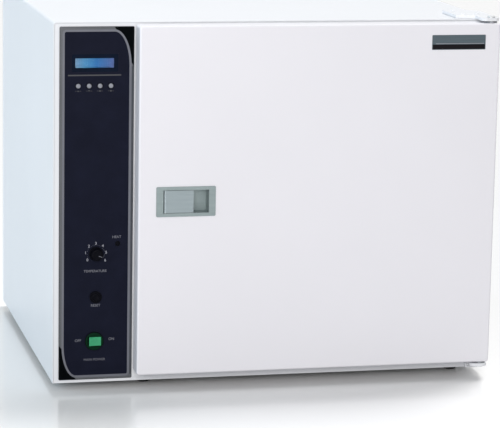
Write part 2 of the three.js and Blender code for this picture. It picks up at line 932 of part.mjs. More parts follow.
// Air baffle: a perforated sheet that hides the fan, with slots down both sides.
function makeBaffle() {
  const clear = chamberOutline(-fit);
  const inside = chamberOutline(-fit - linerSheet);
  const y0 = chamberDepth;
  const pan = cut(
    prism(clear, y0, y0 + baffleFold),
    [prism(inside, y0 + linerSheet, y0 + baffleFold + overrun)],
  );
  const tools = [];
  for (let ring = -baffleHoleRings; ring <= baffleHoleRings; ring += 1) {
    const count = baffleHoleRings * 2 + 1 - Math.abs(ring);
    for (let i = 0; i < count; i += 1) {
      const x = (i - (count - 1) / 2) * baffleHolePitch;
      const z = chamberMiddleHeight + ring * baffleHolePitch * Math.sin(Math.PI / 3);
      tools.push(bar('y', baffleHoleDiameter / 2, y0 - overrun, y0 + linerSheet + overrun, x, z, rodSides));
    }
  }
  const slotPitch = chamberHeight / (baffleSlotCount + 1);
  for (let i = 1; i <= baffleSlotCount; i += 1) {
    for (const side of [-1, 1]) {
      const x = side * (chamberWidth / 2 - baffleSlotInset);
      tools.push(block(
        x - baffleSlotWidth / 2,
        x + baffleSlotWidth / 2,
        y0 - overrun,
        y0 + linerSheet + overrun,
        slotPitch * i - baffleSlotHeight / 2,
        slotPitch * i + baffleSlotHeight / 2,
      ));
    }
  }
  tools.push(bar(
    'y',
    probeDiameter / 2 + fit,
    y0 - overrun,
    y0 + linerSheet + overrun,
    probeRight,
    chamberMiddleHeight + probeRise,
    smallSides,
  ));
  return meshOf('air_baffle', cut(pan, tools), stainless);
}

// Fan wheel: a back disc, leaning blades and a front ring, on a hub.
function makeImpeller() {
  const radius = impellerDiameter / 2;
  const inner = radius - impellerBladeLength;
  const bore = shaftDiameter / 2 + fit;
  const hub = impellerHubDiameter / 2;
  const pieces = [
    turned([[bore, -impellerSheet], [radius, -impellerSheet], [radius, 0], [bore, 0]], 0, 0),
    turned([[bore, -impellerWidth], [hub, -impellerWidth], [hub, 0], [bore, 0]], 0, 0),
    turned([
      [inner, -impellerWidth],
      [radius, -impellerWidth],
      [radius, impellerSheet - impellerWidth],
      [inner, impellerSheet - impellerWidth],
    ], 0, 0),
  ];
  for (let i = 0; i < impellerBladeCount; i += 1) {
    const blade = block(
      -impellerBladeLength / 2,
      impellerBladeLength / 2,
      impellerSheet / 2 - impellerWidth,
      -impellerSheet / 2,
      -impellerSheet / 2,
      impellerSheet / 2,
    );
    const leaning = blade.rotate([0, impellerBladeLeanAngle, 0]);
    const placed = leaning.translate([radius - impellerBladeLength / 2, 0, 0]);
    pieces.push(placed.rotate([0, 360 / impellerBladeCount * i, 0]));
  }
  const disc = turned([[0, -impellerWidth], [radius, -impellerWidth], [radius, 0], [0, 0]], 0, 0);
  const boreCut = bar('y', bore, -impellerWidth - overrun, overrun, 0, 0, roundSides);
  const wheel = meshOf('fan_impeller', join(pieces).intersect(disc).subtract(boreCut), castMetal);
  wheel.position.set(0, plenumBack - impellerBackGap, chamberMiddleHeight);
  return wheel;
}

function makeShaft() {
  const y0 = plenumBack - impellerBackGap - impellerWidth;
  const y1 = coverBack + fit + shaftSeat - chamberMouth;
  const shaft = meshOf('fan_shaft', bar('y', shaftDiameter / 2, y0, y1, 0, 0, smallSides), stainless);
  shaft.position.set(0, 0, chamberMiddleHeight);
  return shaft;
}

function makeMotor() {
  const radius = motorDiameter / 2;
  const flange = motorFlangeDiameter / 2;
  const bore = shaftDiameter / 2 + fit;
  const outline = [
    [0, shaftSeat + fit + fit],
    [bore, shaftSeat + fit + fit],
    [bore, 0],
    [flange, 0],
    [flange, motorFlangeThickness],
    [radius, motorFlangeThickness],
    [radius, motorLength - motorEndRadius],
    [radius - motorEndRadius, motorLength],
    [0, motorLength],
  ];
  const motor = meshOf('fan_motor', turned(outline, 0, 0), castMetal);
  motor.position.set(doorMiddle, coverBack + fit, chamberFloor + chamberMiddleHeight);
  return motor;
}

// Heater: one tube from its rear terminal through the plenum, round the fan, and back out.
class HeaterPath extends THREE.Curve {
  constructor() {
    super();
    this.ring = heaterRingDiameter / 2;
    this.plane = plenumBack - heaterPlane;
    this.end = coverBack - chamberMouth + terminalReach;
    this.leg = this.end - this.plane - heaterBend;
    this.startAngle = Math.asin((heaterLegSpread / 2 + heaterBend) / this.ring);
    this.sweep = Math.PI * 2 - this.startAngle * 2;
    this.bend = heaterBend * Math.PI / 2;
    this.total = (this.leg + this.bend) * 2 + this.sweep * this.ring;
  }

  getPoint(share, target = new THREE.Vector3()) {
    const along = share * this.total;
    const back = this.total - along;
    const side = along < back ? 1 : -1;
    const near = Math.min(along, back);
    const low = -this.ring;
    const legX = side * heaterLegSpread / 2;
    if (near < this.leg) {
      return target.set(legX, this.end - near, low);
    }
    if (near < this.leg + this.bend) {
      const turn = (near - this.leg) / heaterBend;
      const x = legX + side * heaterBend * (1 - Math.cos(turn));
      const lift = this.ring * (1 - Math.cos(this.startAngle)) * (1 - Math.cos(turn));
      return target.set(x, this.plane + heaterBend * (1 - Math.sin(turn)), low + lift);
    }
    const angle = this.startAngle + (near - this.leg - this.bend) / this.ring;
    return target.set(side * this.ring * Math.sin(angle), this.plane, -this.ring * Math.cos(angle));
  }
}

function makeHeater() {
  const section = new THREE.Shape();
  section.absarc(0, 0, heaterTubeDiameter / 2, 0, Math.PI * 2, false);
  const geometry = new THREE.ExtrudeGeometry(section, {
    steps: roundSides * 2 + coarseSides,
    curveSegments: rodSides / 2,
    bevelEnabled: false,
    extrudePath: new HeaterPath(),
  });
  const heater = meshOf('heater_element', solidOf(geometry), ceramicHeater);
  heater.position.set(0, 0, chamberMiddleHeight);
  return heater;
}

function makeProbe() {
  const end = coverBack - chamberMouth + terminalReach;
  const rod = bar('y', probeDiameter / 2, chamberDepth - probeReach, end, 0, 0, smallSides);
  const probe = meshOf('temperature_probe', rod, stainless);
  probe.position.set(probeRight, 0, chamberMiddleHeight + probeRise);
  return probe;
}

function makeVentDuct() {
  const y0 = chamberMouth + plenumBack;
  const outer = bar('y', ventDiameter / 2, y0, bodyDepth, 0, 0);
  const inner = bar('y', ventDiameter / 2 - ventWall, y0 - overrun, bodyDepth + overrun, 0, 0);
  const duct = meshOf('vent_duct', cut(outer, [inner]), stainless);
  duct.position.set(doorMiddle, 0, ventHeight());
  return duct;
}

// Vent cap: a shallow dish on the back panel with narrow slots.
function makeVentCap() {
  const radius = ventCapDiameter / 2;
  const wall = sheet;
  const dish = turned([
    [0, ventCapDepth - wall],
    [radius - wall, ventCapDepth - wall],
    [radius - wall, fit],
    [radius, fit],
    [radius, ventCapDepth - wall],
    [radius - wall, ventCapDepth],
    [0, ventCapDepth],
  ], 0, 0);
  const slots = [];
  for (let i = 0; i < ventSlotCount; i += 1) {
    const z = (i - (ventSlotCount - 1) / 2) * ventSlotPitch;
    const half = Math.sqrt(ventDiameter * ventDiameter / 4 - z * z);
    slots.push(block(-half, half, 0, ventCapDepth + overrun, z - ventSlotWidth / 2, z + ventSlotWidth / 2));
  }
  const cap = meshOf('vent_cap', cut(dish, slots), stainless);
  cap.position.set(doorMiddle, bodyDepth, ventHeight());
  return cap;
}

// Power inlet: a flanged socket with three blades.
function makeInlet() {
  const flange = block(
    -inletFlangeWidth / 2,
    inletFlangeWidth / 2,
    fit,
    fit + inletFlange,
    -inletFlangeHeight / 2,
    inletFlangeHeight / 2,
  );
  const body = block(
    -inletBodyWidth / 2,
    inletBodyWidth / 2,
    fit - inletDepth,
    fit + inletFlange / 2,
    -inletBodyHeight / 2,
    inletBodyHeight / 2,
  );
  const mouth = fit + inletFlange;
  const floor = mouth - inletCavityDepth;
  const cavity = block(
    -inletCavityWidth / 2,
    inletCavityWidth / 2,
    floor,
    mouth + overrun,
    -inletCavityHeight / 2,
    inletCavityHeight / 2,
  );
  const blades = [-1, 0, 1].map((place) => block(
    place * bladeSpread - bladeWidth / 2,
    place * bladeSpread + bladeWidth / 2,
    floor - overrun,
    floor + bladeReach,
    bladeRise - bladeHeight / 2,
    bladeRise + bladeHeight / 2,
  ));
  const inlet = meshOf('power_inlet', join([cut(join([flange, body]), [cavity]), ...blades]), blackPlastic);
  inlet.position.set(columnMiddle, bodyDepth, inletFloor);
  return inlet;
}

function makeFuseHolder() {
  const body = fuseDiameter / 2;
  const cap = fuseCapDiameter / 2;
  const outline = [
    [0, -fuseLength],
    [body, -fuseLength],
    [body, fit],
    [cap, fit],
    [cap, fuseCapProud - body / 3],
    [cap - body / 3, fuseCapProud],
    [0, fuseCapProud],
  ];
  const holder = meshOf('fuse_holder', turned(outline, 0, 0), blackPlastic);
  holder.position.set(columnMiddle, bodyDepth, fuseFloor);
  return holder;
}

// Drive board on the partition: transformer, relays and a terminal strip on standoffs.
function makeDriveBoard() {
  const right = partitionLeft - fit;
  const boardRight = right - driveBoardStandoff;
  const boardLeft = boardRight - boardSheet;
  const y0 = driveBoardFront;
  const y1 = y0 + driveBoardDepth;
  const low = driveBoardFloor;
  const high = low + driveBoardHeight;
  const inset = driveBoardInset;
  const pieces = [block(boardLeft, boardRight, y0, y1, low, high)];
  for (const y of [y0 + inset, y1 - inset]) {
    for (const z of [low + inset, high - inset]) {
      pieces.push(bar('x', boardPostDiameter / 2, boardLeft, right, y, z, coarseSides));
    }
  }
  const start = y0 + inset + inset;
  const stripFloor = high - inset - inset - terminalStripHeight;
  const cores = [
    [transformerWidth, transformerDepth, transformerHeight, start, low + inset + inset],
    [terminalStripWidth, terminalStripDepth, terminalStripHeight, start, stripFloor],
  ];
  for (let i = 0; i < relayCount; i += 1) {
    const z = low + inset + transformerHeight + relayPitch * (i + 1);
    cores.push([relayWidth, relayDepth, relayHeight, y1 - inset - inset - relayDepth, z]);
  }
  for (const [width, depth, height, y, z] of cores) {
    pieces.push(block(boardLeft - width, boardLeft + boardSheet / 2, y, y + depth, z, z + height));
  }
  return meshOf('drive_board', join(pieces), circuitBoard);
}

// Control plate with its cut-outs, and the fittings that go through it.
function makeControlPlate() {
  const outline = roundedRectangle(0, 0, panelWidth, panelHeight, panelRadius);
  const plate = cut(prism(outline, panelFront, -fit), panelCuts(0, panelFront - overrun, overrun));
  return meshOf('control_plate', plate, panelBlack);
}

function makeDisplayWindow() {
  const left = panelMiddle + displayRight - windowWidth / 2 + fit;
  const low = displayHeight - windowHeight / 2 + fit;
  const width = windowWidth - fit - fit;
  const height = windowHeight - fit - fit;
  const pane = block(left, left + width, panelFront, panelFront + windowPane, low, low + height);
  return meshOf('display_window', pane, clearPane);
}

function makeDisplay() {
  const middle = panelMiddle + displayRight;
  const screen = block(
    middle - displayWidth / 2,
    middle + displayWidth / 2,
    0,
    displayDepth,
    displayHeight - displayTall / 2,
    displayHeight + displayTall / 2,
  );
  return meshOf('lcd_display', screen, blueGlass);
}

// Display board: it carries the display and the key switches, on posts behind the front frame.
function makeDisplayBoard() {
  const middle = panelMiddle + displayRight;
  const left = middle - boardWidth / 2;
  const right = middle + boardWidth / 2;
  const low = keyHeight - boardBottomMargin;
  const high = displayHeight + boardTopMargin;
  const y0 = displayDepth + fit;
  const pieces = [block(left, right, y0, y0 + boardSheet, low, high)];
  for (const x of [left + boardPostInset, right - boardPostInset]) {
    for (const z of [low + boardPostInset, high - boardPostInset]) {
      pieces.push(bar('y', boardPostDiameter / 2, sheet + fit, y0 + boardSheet / 2, x, z, coarseSides));
    }
  }
  return meshOf('display_board', join(pieces), circuitBoard);
}

// Key: a round cap that stands just proud of the plate and stops its travel short of the display board.
function makeKey(name, x) {
  const front = panelFront - keyProud;
  const back = displayDepth - keyTravel;
  const radius = keyDiameter / 2;
  const chamfer = keyProud / 3;
  const outline = [
    [0, front],
    [radius - chamfer, front],
    [radius, front + chamfer],
    [radius, back],
    [0, back],
  ];
  const key = meshOf(name, turned(outline, 0, 0, smallSides), paleKey);
  key.position.set(x, 0, keyHeight);
  return key;
}

function makeLamp() {
  const radius = lampDiameter / 2;
  const body = lampBodyDiameter / 2;
  const back = sheet + fit;
  const outline = [
    [0, panelFront - lampProud],
    [radius - lampProud / 2, panelFront - lampProud],
    [radius, panelFront - lampProud / 3],
    [radius, back],
    [body, back],
    [body, back + lampLength],
    [0, back + lampLength],
  ];
  const lamp = meshOf('indicator_lamp', turned(outline, 0, 0, smallSides), blackPlastic);
  lamp.position.set(panelMiddle + lampRight, 0, lampHeight);
  return lamp;
}

// Knob: a tapered, fluted cap with a pointer groove and a socket for its shaft.
function makeKnob() {
  const base = knobDiameter / 2;
  const top = knobTopDiameter / 2;
  const back = panelFront - fit;
  const front = back - knobLength;
  const cap = turned([[0, front], [top, front], [base, back], [0, back]], 0, 0, roundSides);
  const tools = [];
  for (let i = 0; i < knobGripCount; i += 1) {
    const angle = (i + 0.5) / knobGripCount * Math.PI * 2;
    const reach = base + knobGripDepth;
    tools.push(bar(
      'y',
      knobGripDepth * 2,
      front - overrun,
      back - knobGripDepth * 2,
      Math.sin(angle) * reach,
      Math.cos(angle) * reach,
      coarseSides,
    ));
  }
  tools.push(block(
    -knobPointerWidth / 2,
    knobPointerWidth / 2,
    front - overrun,
    front + knobPointerDepth,
    top / 3,
    base + overrun,
  ));
  const socket = front + knobLength / 3;
  tools.push(bar('y', knobShaftDiameter / 2 + fit, socket, back + overrun, 0, 0, smallSides));
  const knob = meshOf('thermostat_knob', cut(cap, tools), blackPlastic);
  knob.position.set(panelMiddle, 0, knobHeight);
  knob.rotation.y = THREE.MathUtils.degToRad(knobRestAngle);
  return knob;
}

function makeKnobShaft() {
  const y0 = panelFront - fit - knobLength * 2 / 3 + fit;
  const y1 = sheet + fit + thermostatDepth / 2;
  const shaft = meshOf('knob_shaft', bar('y', knobShaftDiameter / 2, y0, y1, 0, 0, smallSides), stainless);
  shaft.position.set(panelMiddle, 0, knobHeight);
  return shaft;
}

function makeThermostat() {
  const y0 = sheet + fit;
  const body = block(
    -thermostatWidth / 2,
    thermostatWidth / 2,
    y0,
    y0 + thermostatDepth,
    -thermostatHeight / 2,
    thermostatHeight / 2,
  );
  const boreEnd = y0 + thermostatDepth / 2 + fit;
  const bore = bar('y', knobShaftDiameter / 2 + fit, y0 - overrun, boreEnd, 0, 0, smallSides);
  const thermostat = meshOf('safety_thermostat', cut(body, [bore]), blackPlastic);
  thermostat.position.set(panelMiddle, 0, knobHeight);
  return thermostat;
}

// Reset switch: a rim on the plate and a barrel behind it, bored for its cap.
function makeResetSwitch() {
  const rim = resetRimDiameter / 2;
  const barrel = resetBarrelDiameter / 2;
  const bore = resetCapDiameter / 2 + fit;
  const front = panelFront - fit - resetRim;
  const floor = front + resetCapProud + resetTravel + fit;
  const outline = [
    [0, floor],
    [bore, floor],
    [bore, front],
    [rim - fit, front],
    [rim, front + fit],
    [rim, panelFront - fit],
    [barrel, panelFront - fit],
    [barrel, resetLength],
    [0, resetLength],
  ];
  const body = meshOf('reset_switch', turned(outline, 0, 0), blackPlastic);
  body.position.set(panelMiddle, 0, resetHeight);
  return body;
}

function makeResetButton() {
  const radius = resetCapDiameter / 2;
  const front = panelFront - fit - resetRim - resetCapProud / 3;
  const back = panelFront - fit - resetRim + resetCapProud;
  const dish = resetCapProud / 4;
  const outline = [
    [0, front + dish / 2],
    [radius - dish, front],
    [radius, front + dish],
    [radius, back],
    [0, back],
  ];
  const button = meshOf('reset_button', turned(outline, 0, 0), blackPlastic);
  button.position.set(panelMiddle, 0, resetHeight);
  return button;
}

// Rocker switch: a round rim and barrel with a square pocket for the rocker.
function makeRockerFrame() {
  const rim = rockerRimDiameter / 2;
  const barrel = rockerBarrelDiameter / 2;
  const front = panelFront - fit - rockerRim;
  const outline = [
    [0, front],
    [rim - rockerRim / 2, front],
    [rim, front + rockerRim / 2],
    [rim, panelFront - fit],
    [barrel, panelFront - fit],
    [barrel, rockerLength],
    [0, rockerLength],
  ];
  const pocket = block(
    -rockerWidth / 2 - rockerGap,
    rockerWidth / 2 + rockerGap,
    front - overrun,
    front + rockerPivot + rockerWidth / 2 - rockerRise + rockerGap,
    -rockerTall / 2 - fit,
    rockerTall / 2 + fit,
  );
  const frame = meshOf('rocker_frame', cut(turned(outline, 0, 0), [pocket]), blackPlastic);
  frame.position.set(panelMiddle + rockerRight, 0, rockerHeight);
  return frame;
}

// Rocker: two shallow slopes that meet in the middle, with its right side pressed in.
function makeRocker() {
  const front = panelFront - fit - rockerRim;
  const half = rockerWidth / 2;
  const crest = -rockerPivot - rockerRise;
  const shape = new THREE.Shape();
  shape.moveTo(-half, crest);
  shape.lineTo(0, crest + rockerRise / 2);
  shape.lineTo(half, crest);
  shape.lineTo(half - rockerRise, 0);
  shape.absarc(0, 0, half - rockerRise, 0, Math.PI, false);
  const rocker = meshOf('power_rocker', slab(shape, -rockerTall / 2, rockerTall / 2), greenLens);
  rocker.position.set(panelMiddle + rockerRight, front + rockerPivot, rockerHeight);
  rocker.rotation.z = THREE.MathUtils.degToRad(rockerTiltAngle);
  return rocker;
}

// Rounds one corner of a shape a quarter turn to the left, about a middle point.
function quarter(shape, x, y, radius, from) {
  shape.absarc(x, y, radius, from, from + Math.PI / 2, false);
}

// Hinge plate on the cabinet's top: a wide seat and a tongue that reaches out over the door.
function makeTopHingePlate() {
  const right = bodySide;
  const left = right - hingePlateWidth;
  const tongueLeft = right - hingeTongueWidth;
  const front = hingeTongueFrontInset - doorGap - doorThickness;
  const radius = hingeTongueRadius;
  const shape = new THREE.Shape();
  shape.moveTo(tongueLeft + radius, front);
  shape.lineTo(right - radius, front);
  quarter(shape, right - radius, front + radius, radius, -Math.PI / 2);
  shape.lineTo(right, hingePlateReach - hingePlateRadius);
  quarter(shape, right - hingePlateRadius, hingePlateReach - hingePlateRadius, hingePlateRadius, 0);
  shape.lineTo(left, hingePlateReach);
  shape.lineTo(left, hingePlateStart + radius);
  shape.lineTo(tongueLeft, hingePlateStart);
  shape.lineTo(tongueLeft, front + radius);
  quarter(shape, tongueLeft + radius, front + radius, radius, Math.PI);
  const z0 = bodyTop + fit;
  const z1 = z0 + hingePlate;
  const bore = bar('z', pinDiameter / 2 + fit, z0 - overrun, z1 + overrun, hingeX, hingeY, smallSides);
  return meshOf('hinge_plate_top', cut(slab(shape, z0, z1), [bore]), whitePaint);
}

// Lower hinge bracket: an angle on the front face with its tongue under the door.
function makeLowerHingeBracket() {
  const right = bodySide;
  const left = right - hingeTongueWidth;
  const front = hingeTongueFrontInset - doorGap - doorThickness;
  const high = doorFloor - doorTopMargin - fit;
  const low = high - hingePlate;
  const radius = hingeTongueRadius;
  const tongue = new THREE.Shape();
  tongue.moveTo(left, -fit);
  tongue.lineTo(left, front + radius);
  quarter(tongue, left + radius, front + radius, radius, Math.PI);
  tongue.lineTo(right - radius, front);
  quarter(tongue, right - radius, front + radius, radius, -Math.PI / 2);
  tongue.lineTo(right, -fit);
  const seat = block(left, right, -fit - hingePlate, -fit, bodyFloor, high);
  const bore = bar('z', pinDiameter / 2 + fit, low - overrun, high + overrun, hingeX, hingeY, smallSides);
  return meshOf('hinge_bracket_lower', cut(join([slab(tongue, low, high), seat]), [bore]), whitePaint);
}

// Hinge pin with a low head outside its plate. A pin points down into the door, or up into it.
function makeHingePin(name, headFace, doorFace, direction) {
  const head = bar('z', pinHeadDiameter / 2, 0, pinHeadHeight, 0, 0, roundSides);
  const length = Math.abs(headFace - doorFace) + pinReach;
  const shank = bar('z', pinDiameter / 2, -length, pinHeadHeight / 2, 0, 0, smallSides);
  let solid = join([head, shank]);
  if (direction > 0) {
    solid = solid.rotate([180, 0, 0]);
  }
  const pin = meshOf(name, solid, stainless);
  pin.position.set(hingeX, hingeY, headFace - direction * fit);
  return pin;
}

function makeHingePins() {
  const topHead = bodyTop + fit + hingePlate;
  const lowHead = doorFloor - doorTopMargin - fit - hingePlate;
  return [
    makeHingePin('hinge_pin_top', topHead, doorTop, -1),
    makeHingePin('hinge_pin_lower', lowHead, doorFloor, 1),
  ];
}

function makeStrikePlate() {
  const [slotLeft, slotRight] = strikeSlot();
  const middle = doorLeft + (slotLeft + slotRight) / 2;
  const height = doorFloor + latchHeight;
  const outline = roundedRectangle(
    middle - strikeWidth / 2,
    height - strikeHeight / 2,
    strikeWidth,
    strikeHeight,
    strikePlate,
  );
  const slot = block(
    doorLeft + slotLeft,
    doorLeft + slotRight,
    -fit - strikePlate - overrun,
    overrun,
    height - noseHeight / 2 - noseClearance,
    height + noseHeight / 2 + noseClearance,
  );
  return meshOf('strike_plate', cut(prism(outline, -fit - strikePlate, -fit), [slot]), stainless);
}

// Door pieces, measured from the door's lower left corner and back plane.

// Door skin: a white pan with softly rounded front edges and folded sides.
function makeDoorSkin() {
  const bevel = doorEdgeRadius;
  const outline = roundedRectangle(
    bevel,
    bevel,
    doorWidth - bevel - bevel,
    doorHeight - bevel - bevel,
    doorCornerRadius - bevel,
  );
  const geometry = new THREE.ExtrudeGeometry(outline, {
    depth: doorThickness,
    bevelEnabled: true,
    bevelThickness: bevel,
    bevelSize: bevel,
    bevelSegments: cornerSteps,
    curveSegments: cornerSteps,
  });
  geometry.rotateX(Math.PI / 2);
  geometry.translate(0, bevel, 0);
  const inner = roundedRectangle(
    doorSheet,
    doorSheet,
    doorWidth - doorSheet - doorSheet,
    doorHeight - doorSheet - doorSheet,
    doorCornerRadius - doorSheet,
  );
  const tools = [
    block(-overrun, doorWidth + overrun, 0, bevel * 2 + overrun, -overrun, doorHeight + overrun),
    prism(inner, bevel - doorThickness, overrun),
    latchCupBlock(latchCupSheet + fit, -doorThickness - overrun, -doorThickness + bevel + overrun),
  ];
  for (const [from, to] of [[-overrun, bevel], [doorHeight - bevel, doorHeight + overrun]]) {
    tools.push(bar(
      'z',
      bushDiameter / 2 + fit,
      from,
      to,
      doorWidth - hingeEdgeInset,
      -hingeBackInset,
    ));
  }
  const solid = cut(solidOf(geometry), tools);
  return meshOf('door_skin', solid, whitePaint);
}

function latchCupBlock(growth, y0, y1) {
  const left = latchLeftInset + latchCupLeftRim;
  return block(
    left - growth,
    left + latchCupWidth + growth,
    y0,
    y1,
    latchHeight - latchCupHeight / 2 - growth,
    latchHeight + latchCupHeight / 2 + growth,
  );
}

// The outline that fits inside the door skin's folded sides.
function doorInside() {
  const edge = doorSheet + fit;
  const width = doorWidth - edge - edge;
  const height = doorHeight - edge - edge;
  return roundedRectangle(edge, edge, width, height, doorCornerRadius - edge);
}

// The plug outline in door places: the chamber's mouth, drawn in by a clearance.
function plugOutline(inset) {
  const width = chamberWidth - (plugClearance + inset) * 2;
  const height = chamberHeight - (plugClearance + inset) * 2;
  return roundedRectangle(
    (doorWidth - width) / 2,
    (doorHeight - height) / 2,
    width,
    height,
    chamberCornerRadius - inset,
  );
}

// Inner panel: a stainless sheet whose raised middle plugs the chamber's mouth.
function makeInnerPanel() {
  const rim = prism(doorInside(), -doorSheet, 0);
  const plug = prism(plugOutline(0), -doorSheet, plugDepth);
  const hollow = prism(plugOutline(doorSheet), -doorSheet - overrun, plugDepth - doorSheet);
  const slot = block(
    noseInset - noseClearance,
    noseInset + noseThickness + boltTravel + noseClearance,
    -doorSheet - overrun,
    overrun,
    latchHeight - noseHeight / 2 - fit,
    latchHeight + noseHeight / 2 + fit,
  );
  return meshOf('door_inner_panel', cut(join([rim, plug]), [hollow, slot]), stainless);
}

function makeDoorInsulation() {
  const edge = doorSheet + fit;
  const front = edge + doorEdgeRadius - doorThickness;
  const slabPart = prism(doorInside(), front, -edge);
  const plugPart = prism(plugOutline(doorSheet + fit), -edge - overrun, plugDepth - edge);
  const tools = [
    block(
      -overrun,
      latchLeftInset + latchCupLeftRim + latchCupWidth + latchPocketMargin,
      front - overrun,
      plugDepth,
      latchHeight - latchPlateHeight / 2,
      latchHeight + latchPlateHeight / 2,
    ),
  ];
  for (const [low, high] of [[-overrun, bushPocket], [doorHeight - bushPocket, doorHeight + overrun]]) {
    tools.push(block(doorWidth - bushPocket, doorWidth + overrun, front - overrun, plugDepth, low, high));
  }
  return meshOf('door_insulation', cut(join([slabPart, plugPart]), tools), mineralWool);
}

// Gasket: a silicone ring with a raised bead that meets the front frame around the mouth.
function makeGasket() {
  const ring = (from, to, y1) => cut(
    prism(chamberOutline(to), fit, y1),
    [prism(chamberOutline(from), fit - overrun, y1 + overrun)],
  );
  const bead = gasketLand + (gasketWidth - gasketBeadWidth) / 2;
  const base = ring(gasketLand, gasketLand + gasketWidth, fit + gasketBase);
  const lip = ring(bead, bead + gasketBeadWidth, doorGap - fit);
  const gasket = meshOf('door_gasket', join([base, lip]), silicone);
  gasket.position.set(doorWidth / 2, 0, (doorHeight - chamberHeight) / 2);
  return gasket;
}

// Hinge bush: a flanged sleeve in the door's edge that turns on the pin.
function makeBush(name, face, direction) {
  const bore = pinDiameter / 2 + fit;
  const body = bushDiameter / 2;
  const collar = bushCollarDiameter / 2;
  const collarHeight = doorTopMargin - fit - fit;
  const outline = [
    [bore, -bushLength],
    [body, -bushLength],
    [body, fit],
    [collar, fit],
    [collar, collarHeight],
    [bore, collarHeight],
  ];
  const geometry = lathed(outline, smallSides);
  geometry.rotateX(direction * Math.PI / 2);
  const bush = meshOf(name, solidOf(geometry), castMetal);
  bush.position.set(doorWidth - hingeEdgeInset, -hingeBackInset, face);
  return bush;
}

// Latch housing: a flush plate with a cup behind it, open in front for the fingers.
function makeLatchHousing() {
  const plate = prism(
    roundedRectangle(
      latchLeftInset,
      latchHeight - latchPlateHeight / 2,
      latchPlateWidth,
      latchPlateHeight,
      latchPlateRadius,
    ),
    latchFront,
    latchFront + latchPlate,
  );
  const cupBack = latchCupDepth - doorThickness;
  const cup = latchCupBlock(latchCupSheet, latchFront + latchPlate / 2, cupBack + latchCupSheet);
  const hollow = latchCupBlock(0, latchFront - overrun, cupBack);
  const barY = paddlePivotY + boltDrive;
  const left = latchLeftInset + latchCupLeftRim;
  const barSlot = block(
    left - latchCupSheet - overrun,
    left + overrun,
    barY - boltBarThickness / 2 - fit,
    barY + boltBarThickness / 2 + fit,
    latchHeight - boltBarHeight / 2 - fit,
    latchHeight + boltBarHeight / 2 + fit,
  );
  const pinReachOut = latchCupHeight / 2 + latchCupSheet;
  const pinHoles = bar(
    'z',
    paddlePinDiameter / 2 + fit,
    latchHeight - pinReachOut - overrun,
    latchHeight + pinReachOut + overrun,
    paddlePivotX,
    paddlePivotY,
    smallSides,
  );
  return meshOf('latch_housing', cut(join([plate, cup]), [hollow, barSlot, pinHoles]), stainless);
}

function makePaddlePin() {
  const reach = latchCupHeight / 2 + latchCupSheet;
  const pin = bar('z', paddlePinDiameter / 2, latchHeight - reach, latchHeight + reach, 0, 0, smallSides);
  const mesh = meshOf('paddle_pin', pin, stainless);
  mesh.position.set(paddlePivotX, paddlePivotY, 0);
  return mesh;
}

// Paddle: a flat pull rolled into a knuckle on its pin, with a folded lip at its free edge and a tail
// behind that moves the bolt.
function makePaddle() {
  const half = latchCupHeight / 2 - paddleGap;
  const front = latchFront - paddlePivotY;
  const knuckle = knuckleDiameter / 2;
  const right = paddleWidth - knuckle;
  const pieces = [
    block(0, right, front, front + paddleSheet, -half, half),
    block(right - paddleSheet, right, front, front + paddleLip, -half, half),
    bar('z', knuckle, -half, half, 0, 0, smallSides),
    block(-tailThickness / 2, tailThickness / 2, 0, tailLength, -tailWidth / 2, tailWidth / 2),
  ];
  const bore = bar('z', paddlePinDiameter / 2 + fit, -half - overrun, half + overrun, 0, 0, smallSides);
  const paddle = meshOf('latch_paddle', cut(join(pieces), [bore]), stainless);
  paddle.position.set(paddlePivotX, paddlePivotY, latchHeight);
  return paddle;
}

// Bolt: a flat bar driven by the paddle's tail, with a nose that passes back through the strike plate.
function makeBolt() {
  const barY = boltDrive;
  const y0 = barY - boltBarThickness / 2;
  const y1 = barY + boltBarThickness / 2;
  const right = boltWindow / 2 + boltEnd;
  const noseLeft = noseInset - paddlePivotX;
  const noseEnd = doorGap + noseReach - paddlePivotY;
  const halfBar = boltBarHeight / 2;
  const halfNose = noseHeight / 2;
  const nose = new THREE.Shape();
  nose.moveTo(noseLeft, y0);
  nose.lineTo(noseLeft + noseThickness, y0);
  nose.lineTo(noseLeft + noseThickness, noseEnd);
  nose.lineTo(noseLeft + noseChamfer, noseEnd);
  nose.lineTo(noseLeft, noseEnd - noseChamfer);
  const window = block(
    -boltWindow / 2,
    boltWindow / 2,
    y0 - overrun,
    y1 + overrun,
    -tailWidth / 2 - paddleGap,
    tailWidth / 2 + paddleGap,
  );
  const solid = join([
    block(noseLeft, right, y0, y1, -halfBar, halfBar).subtract(window),
    slab(nose, -halfNose, halfNose),
  ]);
  const bolt = meshOf('latch_bolt', solid, castMetal);
  bolt.position.set(paddlePivotX, paddlePivotY, latchHeight);
  return bolt;
}

const sterilizer = new THREE.Group();
sterilizer.position.set(0, -middleY, 0);

const cabinet = new THREE.Group();
cabinet.add(
  makeWrap(),
  makeFrontFrame(),
  makeBackPanel(),
  makeBasePan(),
  ...makeFeet(),
  makePartition(),
  makeInsulation(),
  makeInsulationCover(),
  makeMotor(),
  makeVentDuct(),
  makeVentCap(),
  makeInlet(),
  makeFuseHolder(),
  makeDriveBoard(),
  makeTopHingePlate(),
  makeLowerHingeBracket(),
  ...makeHingePins(),
  makeStrikePlate(),
);

const chamber = new THREE.Group();
chamber.position.set(doorMiddle, chamberMouth, chamberFloor);
chamber.add(
  makeLiner(),
  makeRack('rack_left', -1),
  makeRack('rack_right', 1),
  makeShelf('shelf_lower', lowerShelfLedge),
  makeShelf('shelf_upper', upperShelfLedge),
  makeBaffle(),
  makeImpeller(),
  makeShaft(),
  makeHeater(),
  makeProbe(),
);

